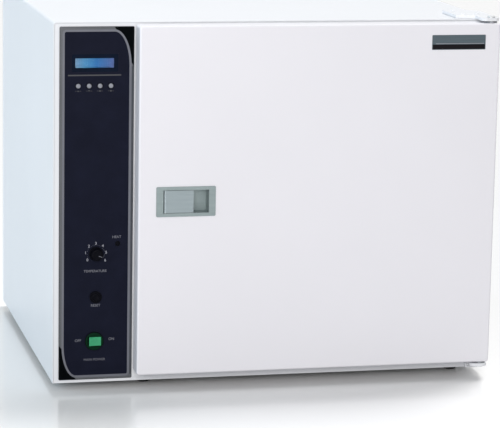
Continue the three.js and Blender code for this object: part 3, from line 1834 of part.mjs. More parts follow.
const panel = new THREE.Group();
panel.position.set(panelLeftMargin - bodySide, 0, bodyFloor + panelBottomMargin);
panel.add(
  makeControlPlate(),
  makeDisplayWindow(),
  makeDisplay(),
  makeDisplayBoard(),
  ...keyPlaces().map((x, i) => makeKey('key_' + (i + 1), x)),
  makeLamp(),
  makeKnob(),
  makeKnobShaft(),
  makeThermostat(),
  makeResetSwitch(),
  makeResetButton(),
  makeRockerFrame(),
  makeRocker(),
);

const door = new THREE.Group();
door.position.set(doorLeft, -doorGap, doorFloor);
door.add(
  makeDoorSkin(),
  makeInnerPanel(),
  makeDoorInsulation(),
  makeGasket(),
  makeBush('hinge_bush_top', doorHeight, 1),
  makeBush('hinge_bush_lower', 0, -1),
  makeLatchHousing(),
  makePaddlePin(),
  makePaddle(),
  makeBolt(),
);

sterilizer.add(cabinet, chamber, panel, door);

export default sterilizer;
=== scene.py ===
import math

import bpy
from mathutils import Matrix, Vector


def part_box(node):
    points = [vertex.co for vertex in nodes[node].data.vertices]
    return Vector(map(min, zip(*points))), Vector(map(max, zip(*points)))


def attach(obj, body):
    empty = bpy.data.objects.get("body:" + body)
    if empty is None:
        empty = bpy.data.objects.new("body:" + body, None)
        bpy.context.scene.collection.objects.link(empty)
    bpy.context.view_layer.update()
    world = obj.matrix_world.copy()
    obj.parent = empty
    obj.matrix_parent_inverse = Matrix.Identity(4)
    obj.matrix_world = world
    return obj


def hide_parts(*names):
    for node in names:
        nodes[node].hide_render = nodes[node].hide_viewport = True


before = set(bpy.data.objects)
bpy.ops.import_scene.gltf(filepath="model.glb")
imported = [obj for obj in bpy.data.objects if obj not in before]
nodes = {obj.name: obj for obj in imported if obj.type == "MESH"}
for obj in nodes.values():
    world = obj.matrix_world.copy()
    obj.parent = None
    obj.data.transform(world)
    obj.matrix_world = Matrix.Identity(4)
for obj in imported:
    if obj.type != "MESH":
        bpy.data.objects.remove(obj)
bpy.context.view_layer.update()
mm = 0.001
print("frame loaded,", len(nodes), "nodes")

camera = {
    "place": (-0.94565, -4.13409, 1.03783),
    "yaw": 13.26,      # degrees to the right of straight ahead
    "pitch": 10.81,    # degrees down
    "roll": 1.05,
    "lens": 176.57,
    "sensor": 36,
    "clip": (0.05, 80),   # nearest and furthest that it sees, in metres
}


def placeCamera():
    yaw, pitch, roll = (math.radians(camera[k]) for k in ("yaw", "pitch", "roll"))
    ahead = Vector((math.sin(yaw) * math.cos(pitch), math.cos(yaw) * math.cos(pitch), -math.sin(pitch)))
    right = Vector((math.cos(yaw), -math.sin(yaw), 0))
    up = right.cross(ahead)
    tiltedRight = right * math.cos(roll) + up * math.sin(roll)
    tiltedUp = up * math.cos(roll) - right * math.sin(roll)
    turn = Matrix((tiltedRight, tiltedUp, -ahead)).transposed().to_4x4()
    data = bpy.data.cameras.new("camera")
    data.lens = camera["lens"]
    data.sensor_width = camera["sensor"]
    data.clip_start, data.clip_end = camera["clip"]
    eye = bpy.data.objects.new("camera", data)
    bpy.context.scene.collection.objects.link(eye)
    eye.matrix_world = Matrix.Translation(camera["place"]) @ turn
    bpy.context.scene.camera = eye


placeCamera()
print("camera placed")


# Node helpers for the finishes
noiseSpan = (0.3, 0.7)    # nearly all of a noise lies between these
reliefStrength = 0.6
smoothest = 0.02          # no roughness goes below this


def nodeSheet(name):
    material = bpy.data.materials.new(name)
    material.use_nodes = True
    tree = material.node_tree
    return material, tree, tree.nodes["Principled BSDF"]


def addNode(tree, kind, **settings):
    node = tree.nodes.new(kind)
    for key, value in settings.items():
        if key in node.inputs:
            node.inputs[key].default_value = value
        else:
            setattr(node, key, value)
    return node


def objectPlace(tree, stretch):
    # The place on the object, stretched by one number or by three. A higher number is a finer pattern.
    place = addNode(tree, "ShaderNodeTexCoord")
    mapping = addNode(tree, "ShaderNodeMapping")
    mapping.inputs["Scale"].default_value = stretch if isinstance(stretch, tuple) else (stretch,) * 3
    tree.links.new(place.outputs["Object"], mapping.inputs["Vector"])
    return mapping.outputs["Vector"]


def noiseOf(tree, stretch, detail=3.0, rough=0.55):
    noise = addNode(tree, "ShaderNodeTexNoise", Scale=1.0, Detail=detail, Roughness=rough)
    tree.links.new(objectPlace(tree, stretch), noise.inputs["Vector"])
    return noise.outputs["Fac"]


def spread(tree, source, low, high):
    ranged = addNode(tree, "ShaderNodeMapRange")
    ranged.inputs["From Min"].default_value, ranged.inputs["From Max"].default_value = noiseSpan
    ranged.inputs["To Min"].default_value = low
    ranged.inputs["To Max"].default_value = high
    tree.links.new(source, ranged.inputs["Value"])
    return ranged.outputs["Result"]


def makeFinish(name, tint, rough, metal=0.0, cloud=9, shade=0.04, roughSpread=0.06, grain=700,
               bump=0.00004, glow=0.0, specular=0.5, detail=3.0):
    # One finish: a drifting tint, and a fine grain that varies the roughness and stands in relief.
    material, tree, shader = nodeSheet(name)
    ramp = addNode(tree, "ShaderNodeValToRGB")
    dark, light = ramp.color_ramp.elements
    dark.position, light.position = noiseSpan
    dark.color = (*[c * (1 - shade) for c in tint], 1)
    light.color = (*[min(1.0, c * (1 + shade)) for c in tint], 1)
    tree.links.new(noiseOf(tree, cloud, detail), ramp.inputs["Fac"])
    tree.links.new(ramp.outputs["Color"], shader.inputs["Base Color"])
    fine = noiseOf(tree, grain, detail)
    tree.links.new(spread(tree, fine, max(smoothest, rough - roughSpread), rough + roughSpread),
                   shader.inputs["Roughness"])
    relief = addNode(tree, "ShaderNodeBump", Strength=reliefStrength, Distance=bump)
    tree.links.new(fine, relief.inputs["Height"])
    tree.links.new(relief.outputs["Normal"], shader.inputs["Normal"])
    shader.inputs["Metallic"].default_value = metal
    shader.inputs["Specular IOR Level"].default_value = specular
    if glow:
        tree.links.new(ramp.outputs["Color"], shader.inputs["Emission Color"])
        shader.inputs["Emission Strength"].default_value = glow
    return material


screen = {
    "ends": (-0.3324, -0.2674),      # left and right, in metres
    "tints": [(0.0, (0.100, 0.168, 0.240)), (0.25, (0.046, 0.160, 0.280)), (0.55, (0.014, 0.092, 0.230)),
              (0.8, (0.033, 0.085, 0.206)), (1.0, (0.060, 0.082, 0.195))],
    "cell": (0.0036, 0.0062),        # width and height of a character's place
    "cellGap": 0.0003,
    "cellShades": (1.0, 0.94, 0.82),   # one place, the next, and the gap between them
    "glow": 0.45,
    "rough": 0.35,
    "specular": 0.2,
}


def makeDisplayGlow():
    # The blue screen, paler at its left end, with faint rows of character cells.
    material, tree, shader = nodeSheet("blue screen")
    place = addNode(tree, "ShaderNodeTexCoord")
    split = addNode(tree, "ShaderNodeSeparateXYZ")
    tree.links.new(place.outputs["Object"], split.inputs["Vector"])
    along = addNode(tree, "ShaderNodeMapRange")
    along.inputs["From Min"].default_value, along.inputs["From Max"].default_value = screen["ends"]
    tree.links.new(split.outputs["X"], along.inputs["Value"])
    ramp = addNode(tree, "ShaderNodeValToRGB")
    while len(ramp.color_ramp.elements) < len(screen["tints"]):
        ramp.color_ramp.elements.new(0.5)
    for element, (position, tint) in zip(ramp.color_ramp.elements, screen["tints"]):
        element.position = position
        element.color = (*tint, 1)
    tree.links.new(along.outputs["Result"], ramp.inputs["Fac"])
    cells = addNode(tree, "ShaderNodeTexBrick", Scale=1.0)
    cells.offset = 0.0
    for socket, level in zip(("Color1", "Color2", "Mortar"), screen["cellShades"]):
        cells.inputs[socket].default_value = (level, level, level, 1)
    cells.inputs["Mortar Size"].default_value = screen["cellGap"]
    cells.inputs["Brick Width"].default_value, cells.inputs["Row Height"].default_value = screen["cell"]
    turned = addNode(tree, "ShaderNodeMapping")
    turned.inputs["Rotation"].default_value = (math.radians(-90), 0, 0)
    tree.links.new(place.outputs["Object"], turned.inputs["Vector"])
    tree.links.new(turned.outputs["Vector"], cells.inputs["Vector"])
    mix = addNode(tree, "ShaderNodeMix", data_type="RGBA", blend_type="MULTIPLY")
    mix.inputs["Factor"].default_value = 1.0
    tree.links.new(ramp.outputs["Color"], mix.inputs[6])
    tree.links.new(cells.outputs["Color"], mix.inputs[7])
    tree.links.new(mix.outputs[2], shader.inputs["Base Color"])
    tree.links.new(mix.outputs[2], shader.inputs["Emission Color"])
    shader.inputs["Emission Strength"].default_value = screen["glow"]
    shader.inputs["Roughness"].default_value = screen["rough"]
    shader.inputs["Specular IOR Level"].default_value = screen["specular"]
    return material


pane = {
    "tint": (0.93, 0.96, 1.0),
    "ior": 1.05,
    "smear": 60,
    "rough": (0.0, 0.06),
}


def makePaneGlass():
    material, tree, shader = nodeSheet("clear pane")
    shader.inputs["Base Color"].default_value = (*pane["tint"], 1)
    shader.inputs["Transmission Weight"].default_value = 1.0
    shader.inputs["IOR"].default_value = pane["ior"]
    tree.links.new(spread(tree, noiseOf(tree, pane["smear"]), *pane["rough"]), shader.inputs["Roughness"])
    return material


# What each finish is mixed from. A higher cloud is a finer drift of the tint, and a higher grain a finer
# relief. The bump is the relief's depth in metres.
mixes = {
    "door coat": dict(tint=(0.850, 0.838, 0.878), rough=0.34, cloud=3, shade=0.012, grain=620, bump=0.00003),
    "cabinet coat": dict(tint=(0.830, 0.842, 0.872), rough=0.38, cloud=3, shade=0.015, grain=620,
                         bump=0.00003),
    "panel print": dict(tint=(0.0082, 0.0096, 0.0205), rough=0.34, cloud=30, shade=0.12, grain=1500,
                        bump=0.00001, roughSpread=0.05, specular=0.04),
    "black corner": dict(tint=(0.0008, 0.0014, 0.0020), rough=0.45, shade=0.2, grain=1500, bump=0.00001,
                         specular=0.02),
    "grey border": dict(tint=(0.085, 0.090, 0.100), rough=0.35, cloud=(12, 12, 6), shade=0.18, grain=1500,
                        bump=0.00001),
    # Painted shade: the grey border, made darker for the strip at the panel's right, where the door stands
    # proud beside it.
    "painted shade border": dict(tint=(0.048, 0.052, 0.062), rough=0.38, cloud=(12, 12, 6), shade=0.18, grain=1500,
                        bump=0.00001, specular=0.3),
    "silver line": dict(tint=(0.136, 0.141, 0.168), rough=0.40, cloud=(20, 20, 10), shade=0.10, grain=1800,
                        bump=0.00001),
    "pale print": dict(tint=(0.31, 0.315, 0.36), rough=0.5, cloud=200, shade=0.08, grain=2500, bump=0.00001),
    "soft print": dict(tint=(0.135, 0.138, 0.165), rough=0.5, cloud=200, shade=0.1, grain=2500, bump=0.00001),
    "dim print": dict(tint=(0.031, 0.032, 0.038), rough=0.5, cloud=200, shade=0.1, grain=2500, bump=0.00001),
    "black moulding": dict(tint=(0.0028, 0.0030, 0.0052), rough=0.38, cloud=80, shade=0.15, grain=2200,
                           bump=0.00003, specular=0.035),
    "green-lit moulding": dict(tint=(0.0022, 0.0200, 0.0085), rough=0.38, cloud=80, shade=0.15, grain=2200,
                               bump=0.00003, specular=0.04),
    "pale cap": dict(tint=(0.245, 0.255, 0.290), rough=0.42, cloud=300, shade=0.05, grain=3000, bump=0.00001),
    "handle steel": dict(tint=(0.248, 0.298, 0.302), rough=0.42, metal=0.55, cloud=(14, 14, 220), shade=0.05,
                         grain=(60, 60, 3600), bump=0.00001, roughSpread=0.08),
    "paddle steel": dict(tint=(0.272, 0.320, 0.338), rough=0.42, metal=0.55, cloud=(14, 14, 220), shade=0.05,
                         grain=(60, 60, 3600), bump=0.00001, roughSpread=0.08),
    "brushed steel": dict(tint=(0.56, 0.57, 0.58), rough=0.34, metal=1.0, cloud=(6, 6, 90), shade=0.05,
                          grain=(30, 30, 2200), bump=0.000002, roughSpread=0.05),
    "satin steel": dict(tint=(0.57, 0.58, 0.59), rough=0.42, metal=1.0, cloud=5, shade=0.04, grain=1500,
                        bump=0.0000015, roughSpread=0.05),
    "heated steel": dict(tint=(0.55, 0.54, 0.52), rough=0.40, metal=1.0, cloud=7, shade=0.08, grain=1300,
                         bump=0.0000015, roughSpread=0.06),
    "drawn wire": dict(tint=(0.60, 0.61, 0.62), rough=0.24, metal=1.0, cloud=60, shade=0.06,
                       grain=(1600, 50, 1600), bump=0.00001, roughSpread=0.06),
    "zinc sheet": dict(tint=(0.46, 0.48, 0.50), rough=0.42, metal=0.9, cloud=70, shade=0.16, grain=140,
                       bump=0.00001, roughSpread=0.12, detail=1.0),
    "cast metal": dict(tint=(0.24, 0.25, 0.27), rough=0.50, metal=0.85, cloud=160, shade=0.10, grain=1300,
                       bump=0.00006),
    "black rubber": dict(tint=(0.012, 0.012, 0.013), rough=0.80, cloud=150, shade=0.2, grain=1400,
                         bump=0.00012, specular=0.3),
    "red silicone": dict(tint=(0.42, 0.075, 0.05), rough=0.55, cloud=40, shade=0.08, grain=1500,
                         bump=0.00003),
    "mineral wool": dict(tint=(0.55, 0.47, 0.27), rough=0.95, cloud=(200, 200, 60), shade=0.25,
                         grain=(900, 900, 300), bump=0.0006),
    "circuit board": dict(tint=(0.02, 0.12, 0.05), rough=0.40, cloud=250, shade=0.25, grain=900,
                          bump=0.00004),
    "heated sheath": dict(tint=(0.14, 0.10, 0.08), rough=0.45, metal=0.8, cloud=35, shade=0.35, grain=900,
                          bump=0.00003),
    "badge grey": dict(tint=(0.074, 0.103, 0.120), rough=0.38, metal=0.35, cloud=(20, 20, 400), shade=0.10,
                       grain=(60, 60, 3000), bump=0.000008),
    "badge black": dict(tint=(0.006, 0.005, 0.007), rough=0.36, cloud=90, shade=0.2, grain=2000,
                        bump=0.00001, specular=0.10),
    "lit green": dict(tint=(0.024, 0.215, 0.096), rough=0.22, cloud=120, shade=0.12, grain=900,
                      bump=0.00002, glow=0.5, specular=0.3),
    "dark surround": dict(tint=(0.0024, 0.0066, 0.0185), rough=0.22, cloud=60, shade=0.2, grain=2000,
                          bump=0.000005, specular=0.06),
}
finishes = {name: makeFinish(name, **parts) for name, parts in mixes.items()}
finishes["blue screen"] = makeDisplayGlow()
finishes["clear pane"] = makePaneGlass()
print("finishes mixed,", len(finishes))

nodeFinish = {
    "door coat": ["door_skin"],
    "cabinet coat": ["cabinet_wrap", "front_frame", "back_panel", "hinge_plate_top", "hinge_bracket_lower"],
    "panel print": ["control_plate"],
    "handle steel": ["latch_housing"],
    "paddle steel": ["latch_paddle"],
    "brushed steel": ["vent_duct", "vent_cap", "hinge_pin_top", "hinge_pin_lower", "strike_plate",
                      "fan_shaft", "temperature_probe", "knob_shaft", "door_inner_panel", "paddle_pin"],
    "satin steel": ["chamber_liner"],
    "heated steel": ["rack_left", "rack_right", "air_baffle"],
    "drawn wire": ["shelf_lower", "shelf_upper"],
    "zinc sheet": ["base_pan", "bay_partition", "insulation_cover"],
    "black moulding": ["power_inlet", "fuse_holder", "indicator_lamp", "thermostat_knob",
                       "safety_thermostat", "reset_switch", "reset_button", "rocker_frame"],
    "pale cap": ["key_1", "key_2", "key_3", "key_4"],
    "black rubber": ["foot_front_left", "foot_front_right", "foot_back_left", "foot_back_right"],
    "lit green": ["power_rocker"],
    "blue screen": ["lcd_display"],
    "clear pane": ["display_window"],
    "red silicone": ["door_gasket"],
    "mineral wool": ["chamber_insulation", "door_insulation"],
    "circuit board": ["display_board", "drive_board"],
    "cast metal": ["fan_motor", "fan_impeller", "hinge_bush_top", "hinge_bush_lower", "latch_bolt"],
    "heated sheath": ["heater_element"],
}


def dressNodes():
    for finish, names in nodeFinish.items():
        for name in names:
            mesh = nodes[name].data
            mesh.materials.clear()
            mesh.materials.append(finishes[finish])


dressNodes()
print("nodes dressed")


# Shape helpers. Sizes are in millimetres, in the frame's own places.
capShare = 0.7         # a capital's height, as a share of the font's size
softSteps = 2          # steps over a flat piece's softened edge
sharpTurn = 32         # degrees, from which a turned piece shows an edge
hair = 0.02            # a gap too fine to see
toFront = (0, -1, 0)
toBack = (0, 1, 0)
toTop = (0, 0, 1)


def keepPiece(name, mesh, finish, body):
    mesh.materials.clear()
    mesh.materials.append(finishes[finish])
    piece = bpy.data.objects.new(name, mesh)
    bpy.context.scene.collection.objects.link(piece)
    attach(piece, body)
    return piece


def meshFrom(name, points, faces, smooth=False):
    mesh = bpy.data.meshes.new(name)
    mesh.from_pydata([Vector(p) * mm for p in points], [], faces)
    mesh.validate()
    mesh.update()
    if smooth:
        mesh.shade_smooth()
        mesh.set_sharp_from_angle(angle=math.radians(sharpTurn))
    return mesh


def facingFront(data, name, back, thickness, centre=(0, 0)):
    # A flat curve or text, drawn across and up, stood upright so that it faces the front.
    data.extrude = thickness / 2
    holder = bpy.data.objects.new(name + " outline", data)
    bpy.context.scene.collection.objects.link(holder)
    bpy.context.view_layer.update()
    mesh = bpy.data.meshes.new_from_object(holder.evaluated_get(bpy.context.evaluated_depsgraph_get()))
    bpy.data.objects.remove(holder)
    for vertex in mesh.vertices:
        x, y, z = vertex.co
        vertex.co = Vector((x + centre[0], back - thickness / 2 - z, y + centre[1])) * mm
    mesh.update()
    return mesh


def flatPiece(name, loops, back, thickness, finish, body, softEdge=0.0):
    # Cut from sheet. A loop inside another is a hole, and one outside it is a part of its own.
    data = bpy.data.curves.new(name, "CURVE")
    data.dimensions = "2D"
    data.fill_mode = "BOTH"
    for loop in loops:
        spline = data.splines.new("POLY")
        spline.points.add(len(loop) - 1)
        for point, (x, z) in zip(spline.points, loop):
            point.co = (x, z, 0, 1)
        spline.use_cyclic_u = True
    if softEdge:
        data.bevel_depth = softEdge
        data.offset = -softEdge
        data.bevel_resolution = softSteps
        thickness -= softEdge * 2
        back -= softEdge
    return keepPiece(name, facingFront(data, name, back, thickness), finish, body)


def cornered(left, right, low, high, corners, steps):
    # A rectangle whose four corners, from the lower left anticlockwise, have their own (across, up) radii.
    points = []
    middles = [(left, low, 1, 1, 180), (right, low, -1, 1, 270),
               (right, high, -1, -1, 0), (left, high, 1, -1, 90)]
    for (x, z, sx, sz, start), (rx, rz) in zip(middles, corners):
        for i in range(steps + 1):
            turn = math.radians(start + 90 * i / steps)
            points.append((x + sx * rx + math.cos(turn) * rx, z + sz * rz + math.sin(turn) * rz))
    return points


def rounded(left, right, low, high, radius, steps):
    # A rectangle with the same round at each corner.
    return cornered(left, right, low, high, [(radius, radius)] * 4, steps)


def roundedAt(x, z, wide, tall, radius, steps):
    # The same about a middle. wide and tall are half its sizes.
    return rounded(x - wide, x + wide, z - tall, z + tall, radius, steps)


def circle(x, z, radius, sides):
    turns = [2 * math.pi * i / sides for i in range(sides)]
    return [(x + radius * math.cos(turn), z + radius * math.sin(turn)) for turn in turns]


def seated(profile, seat):
    # A profile says "seat" where it reaches what the piece stands on.
    return [(radius, seat if distance == "seat" else distance) for radius, distance in profile]


def revolve(name, profile, centre, axis, finish, body, sides=64, pull=None, smooth=True,
            ring=False):
    # Turns (radius, distance) pairs about an axis. pull(angle, radius) may change a radius.
    # A ring's profile closes on itself. Any other has a flat face at each end.
    along = Vector(axis).normalized()
    across = Vector(toTop) if along.y else along.orthogonal().normalized()
    third = along.cross(across)
    points, faces = [], []
    for radius, distance in profile:
        for i in range(sides):
            angle = 2 * math.pi * i / sides
            reach = pull(angle, radius) if pull else radius
            spoke = across * math.cos(angle) + third * math.sin(angle)
            points.append(Vector(centre) + along * distance + spoke * reach)
    rows = len(profile)
    for row in range(rows if ring else rows - 1):
        here, there = row * sides, (row + 1) % rows * sides
        for i in range(sides):
            j = (i + 1) % sides
            faces.append([here + i, here + j, there + j, there + i])
    if not ring:
        faces.append(list(range(sides))[::-1])
        faces.append([(rows - 1) * sides + i for i in range(sides)])
    return keepPiece(name, meshFrom(name, points, faces, smooth), finish, body)


print("helpers ready")

# A round is a radius and the steps in it, here and below.
panel = {
    "front": -296.15,          # front of the control plate
    "left": -356.5, "right": -236.0, "low": 17.0, "high": 595.0,
    "line": (-350.1, -241.9, 22.5, 588.5),   # middle of the silver line: left, right, low, high
    "lineWidth": 3.5,
    "bigHigh": (26, 57),       # the line's upper right corner, across and up
    "bigLow": (22, 52),        # its lower left corner
    "small": 4.5,              # its other two
    "lineSteps": 16,
    "print": 0.12,             # thickness of a print, of one laid over it, and of the line
    "overprint": 0.18,
    "linePrint": 0.24,
    "edge": 0.5,               # the border stops this far inside the plate's edge
    "edgeRound": (1.5, 4),
    "underLine": 0.2,          # and reaches this far under the line
    "cornerEdge": 0.7,         # the same two for the black corners
    "cornerUnder": 0.1,
    "stripGap": 0.3,           # between the line and the strip of painted shade at the right, beside the door
    "stripEdge": 0.6,          # between the strip and the plate's edge
    "stripLift": 1,            # the strip starts this far above the line's foot
    "stripRound": (0.3, 2),
}


def printShape(name, loops, finish="dim print", thickness=panel["print"]):
    flatPiece(name, loops, panel["front"], thickness, finish, "cabinet")


def printWord(name, words, centre, height, weight=0.0, finish="soft print"):
    data = bpy.data.curves.new(name, "FONT")
    data.body = words
    data.size = height / capShare
    data.offset = weight   # thickens the strokes
    data.align_x = "CENTER"
    data.align_y = "CENTER"
    keepPiece(name, facingFront(data, name, panel["front"], panel["print"], centre), finish, "cabinet")


def printLabel(name, words, centre, label):
    # A label is across and up from the middle of what it names, and then its height and weight.
    across, up, height, weight = label
    printWord(name, words, (centre[0] + across, centre[1] + up), height, weight)


def lineLoop(growth):
    left, right, low, high = panel["line"]
    small = panel["small"] + growth
    bigLow = tuple(r + growth for r in panel["bigLow"])
    bigHigh = tuple(r + growth for r in panel["bigHigh"])
    return cornered(left - growth, right + growth, low - growth, high + growth,
                    [bigLow, (small, small), bigHigh, (small, small)], steps=panel["lineSteps"])


def blackCorner(name, side, lineCorner, plateCorner, radii):
    # Fills the plate's corner outside the line's big curve. The side is 1 at the upper right and -1 at the
    # lower left.
    x, z = (at - side * radius for at, radius in zip(lineCorner, radii))
    outerX, outerZ = (at - side * panel["cornerEdge"] for at in plateCorner)
    curve = [p for p in lineLoop(panel["lineWidth"] / 2 - panel["cornerUnder"])
             if side * (p[0] - x) > 0 and side * (p[1] - z) > 0]
    printShape(name, [[(outerX, z)] + curve + [(x, outerZ), (outerX, outerZ)]], "black corner",
               panel["overprint"])


def printPanel():
    half, edge = panel["lineWidth"] / 2, panel["edge"]
    printShape("panel_line", [lineLoop(half), lineLoop(-half)], "silver line", panel["linePrint"])
    outer = rounded(panel["left"] + edge, panel["right"] - edge, panel["low"] + edge, panel["high"] - edge,
                    *panel["edgeRound"])
    printShape("panel_border", [outer, lineLoop(half - panel["underLine"])], "grey border")
    left, right, low, high = panel["line"]
    # The strip at the right is painted shade, darker where the door stands proud beside the panel.
    strip = rounded(right + half + panel["stripGap"], panel["right"] - panel["stripEdge"],
                    low + panel["stripLift"], high - panel["bigHigh"][1], *panel["stripRound"])
    printShape("panel_border_right_shade", [strip], "painted shade border", panel["overprint"])
    blackCorner("panel_corner_high", 1, (right, high), (panel["right"], panel["high"]), panel["bigHigh"])
    blackCorner("panel_corner_low", -1, (left, low), (panel["left"], panel["low"]), panel["bigLow"])


printPanel()
print("panel printed")

display = {
    # left, right, low, high, and then the round of the corners
    "window": (-331.3, -268.8, 528.9, 544.3, 0.8, 3),
    "surround": (-336.6, -262.0, 522.4, 550.6, 2.0, 5),
    "rule": (-343.0, -257.0, 515.9, 518.1, 0.5, 3),
    "surroundPrint": 0.2,
}
keys = {
    "bodies": ("first_key", "second_key", "third_key", "fourth_key"),
    "across": (-326.5, -308.8, -291.3, -273.5),
    "cap": [(3.7, "seat"), (3.7, 0.9), (3.55, 0.5), (3.2, 0.25), (2.6, 0.1), (1.6, 0.02), (0.6, 0)],
    "ring": (4.9, 4.15),       # outer and inner radius
    "ringThick": 0.25,
    "ringSides": 40,
    "marks": ("up", "down", "square", "dot"),
    "markHeight": 491.6,
    "arrow": (1.7, 1.1, 1.4),      # half its width, foot and tip
    "square": (1.3, 1.2, 0.3, 2),  # half its width and height, and its round
    "dot": (1.4, 24),              # radius and sides
    "dashReach": 3.6,              # from the mark's middle to the dash's
    "dash": (1.2, 0.35, 0.2, 2),   # half its width and height, and its round
}


def fitDisplay():
    printShape("display_surround", [rounded(*display["surround"]), rounded(*display["window"])],
               "dark surround", display["surroundPrint"])
    printShape("display_rule", [rounded(*display["rule"])])


def keyMark(kind, x, z):
    wide, foot, tip = keys["arrow"]
    if kind == "up":
        return [(x - wide, z - foot), (x + wide, z - foot), (x, z + tip)]
    if kind == "down":
        return [(x - wide, z + tip), (x, z - foot), (x + wide, z + tip)]
    if kind == "square":
        return roundedAt(x, z, *keys["square"])
    return circle(x, z, *keys["dot"])


def markKeys():
    # Under each key stands a plain mark between two dashes.
    z = keys["markHeight"]
    for i, (kind, x) in enumerate(zip(keys["marks"], keys["across"]), 1):
        dashes = [roundedAt(x + side * keys["dashReach"], z, *keys["dash"]) for side in (-1, 1)]
        printShape("key_mark_%d" % i, [keyMark(kind, x, z)] + dashes)


def capKeys():
    # Domed key caps that ride with their keys, each in a fine dark ring.
    for i, body in enumerate(keys["bodies"], 1):
        low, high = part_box("key_%d" % i)
        x, z = (low.x + high.x) / 2 / mm, (low.z + high.z) / 2 / mm
        top, back = low.y / mm, high.y / mm
        cap = revolve("key_cap_%d" % i, seated(keys["cap"], back - top), (x, top, z), toBack, "pale cap",
                      body)
        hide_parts("key_%d" % i)
        ring = [circle(x, z, radius, keys["ringSides"]) for radius in keys["ring"]]
        printShape("key_ring_%d" % i, ring, "black moulding", keys["ringThick"])


fitDisplay()
markKeys()
capKeys()
print("display and keys fitted")

knob = {
    "centre": (-296.25, 226.0),
    "restAngle": 112,
    # The skirt is (radius, height over its foot), and the grip is (radius, depth under its top).
    "skirt": [(11.5, 0), (11.5, 1.6), (11.2, 2.0), (10.6, 2.4)],
    "grip": [(9.6, 1.2), (9.1, 0.5), (8.4, 0.1), (7.4, 0), (7.0, 0.35), (2.0, 0.35)],
    "sides": 240,
    "flutes": 20,
    "fluteDepth": 0.55,
    "fluted": (7.4, 10.9),     # the radii between which the flutes lie
    "pointer": (2.6, 8.6, 0.5),    # from, to and half its width
    "pointerSunk": 0.4,        # its back lies this far under the knob's top
    "pointerThick": 0.5,
}
dial = {
    "numbers": ("0", "1", "2", "3", "4", "5", "6"),
    "height": 4.4,
    "weight": 0.12,
    "radius": 17.0,
    "lastRadius": 19.0,        # the last number stands further out
    "step": 42,                # degrees from one number to the next
    "dots": 3,                 # between two numbers
    "dot": (0.28, 10),         # radius and sides
    "dotReach": 14.4,
    "label": (-1.0, -28.8, 4.0, 0.08),
}


def onDial(step, reach):
    # A place round the knob. The first number is at step 0, and a dot's step is a fraction.
    x, z = knob["centre"]
    turn = math.radians((step - (len(dial["numbers"]) - 1) / 2) * dial["step"])
    return x + math.sin(turn) * reach, z + math.cos(turn) * reach


def makeDial():
    last, dots = len(dial["numbers"]) - 1, dial["dots"]
    for i, number in enumerate(dial["numbers"]):
        reach = dial["lastRadius"] if i == last else dial["radius"]
        printWord("dial_number_%d" % i, number, onDial(i, reach), dial["height"], dial["weight"],
                  "pale print")
        for dot in range(1, dots + 1):
            if i < last:
                spot = circle(*onDial(i + dot / (dots + 1), dial["dotReach"]), *dial["dot"])
                printShape("dial_dot_%d_%d" % (i, dot), [spot], "pale print")
    printLabel("word_temperature", "TEMPERATURE", knob["centre"], dial["label"])


def makeKnob():
    x, z = knob["centre"]
    low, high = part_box("thermostat_knob")
    top, back = low.y / mm, high.y / mm
    inner, outer = knob["fluted"]

    def pull(angle, reach):
        if inner < reach < outer:
            wave = 0.5 + 0.5 * math.cos(angle * knob["flutes"])
            return reach - knob["fluteDepth"] * wave * wave
        return reach

    profile = [(radius, back - top - height) for radius, height in knob["skirt"]] + knob["grip"]
    cap = revolve("knob_cap", profile, (x, top, z), toBack, "black moulding", "knob", sides=knob["sides"],
                  pull=pull)
    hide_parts("thermostat_knob")
    turn = math.radians(knob["restAngle"])
    ahead = (math.sin(turn), math.cos(turn))
    aside = (ahead[1], -ahead[0])
    near, far, half = knob["pointer"]
    strip = [(x + ahead[0] * r + aside[0] * w, z + ahead[1] * r + aside[1] * w)
             for r, w in ((near, -half), (far, -half), (far, half), (near, half))]
    flatPiece("knob_pointer", [strip], top + knob["pointerSunk"], knob["pointerThick"], "soft print", "knob")


makeDial()
makeKnob()
print("knob and dial made")

# Each point of a profile is a radius and a depth behind the piece's front.
reset = {
    "centre": (-296.25, 154.2),
    "rim": [(1.0, 8.6), (7.6, 8.6), (7.6, "seat"), (10.0, "seat"), (10.0, 1.0), (9.7, 0.45), (9.1, 0.1),
            (8.4, 0), (7.6, 0.1), (7.1, 0.5), (6.95, 1.4), (6.95, 7.8), (1.0, 7.8)],
    "rimSides": 96,
    "cap": [(6.5, "seat"), (6.5, 1.1), (6.3, 0.5), (5.8, 0.1), (5.2, 0), (4.2, 0.15), (2.6, 0.38),
            (1.0, 0.5)],
    "capSides": 72,
    "label": (0, -14.0, 4.2, 0.06),
}
lamp = {
    "centre": (-260.65, 241.8),
    "lens": [(4.2, "seat"), (4.2, 0.9), (4.0, 0.45), (3.5, 0.16), (2.6, 0.03), (0.8, 0)],
    "lensSides": 48,
    "lensRoot": 0.4,           # the lens goes this far into the plate
    "proud": 0.05,             # and stands this far out of the lamp's body
    "label": (-1.6, 11.0, 4.2, 0.06),
}
rocker = {
    "centre": (-298.25, 81.0),
    "ring": [(13.6, "seat"), (15.5, "seat"), (15.5, 1.1), (15.3, 0.6), (14.9, 0.2), (14.4, 0.0), (13.9, 0.1),
             (13.6, 0.5)],
    "ringSides": 128,
    "proud": 0.1,                  # the ring stands this far in front of the frame
    "plate": (14.6, 96),           # radius and sides
    "plateSunk": 0.35,
    "plateThick": 0.45,
    "plateSoft": 0.15,
    "hole": (10.7, 7.2, 0.8, 4),   # half its width and height, and its round
    "off": (-26.6, 1.2, 4.2, 0.06),
    "on": (28.4, 2.4, 4.2, 0.10),
    "power": (0.6, -31.2, 4.0, 0.0),
}


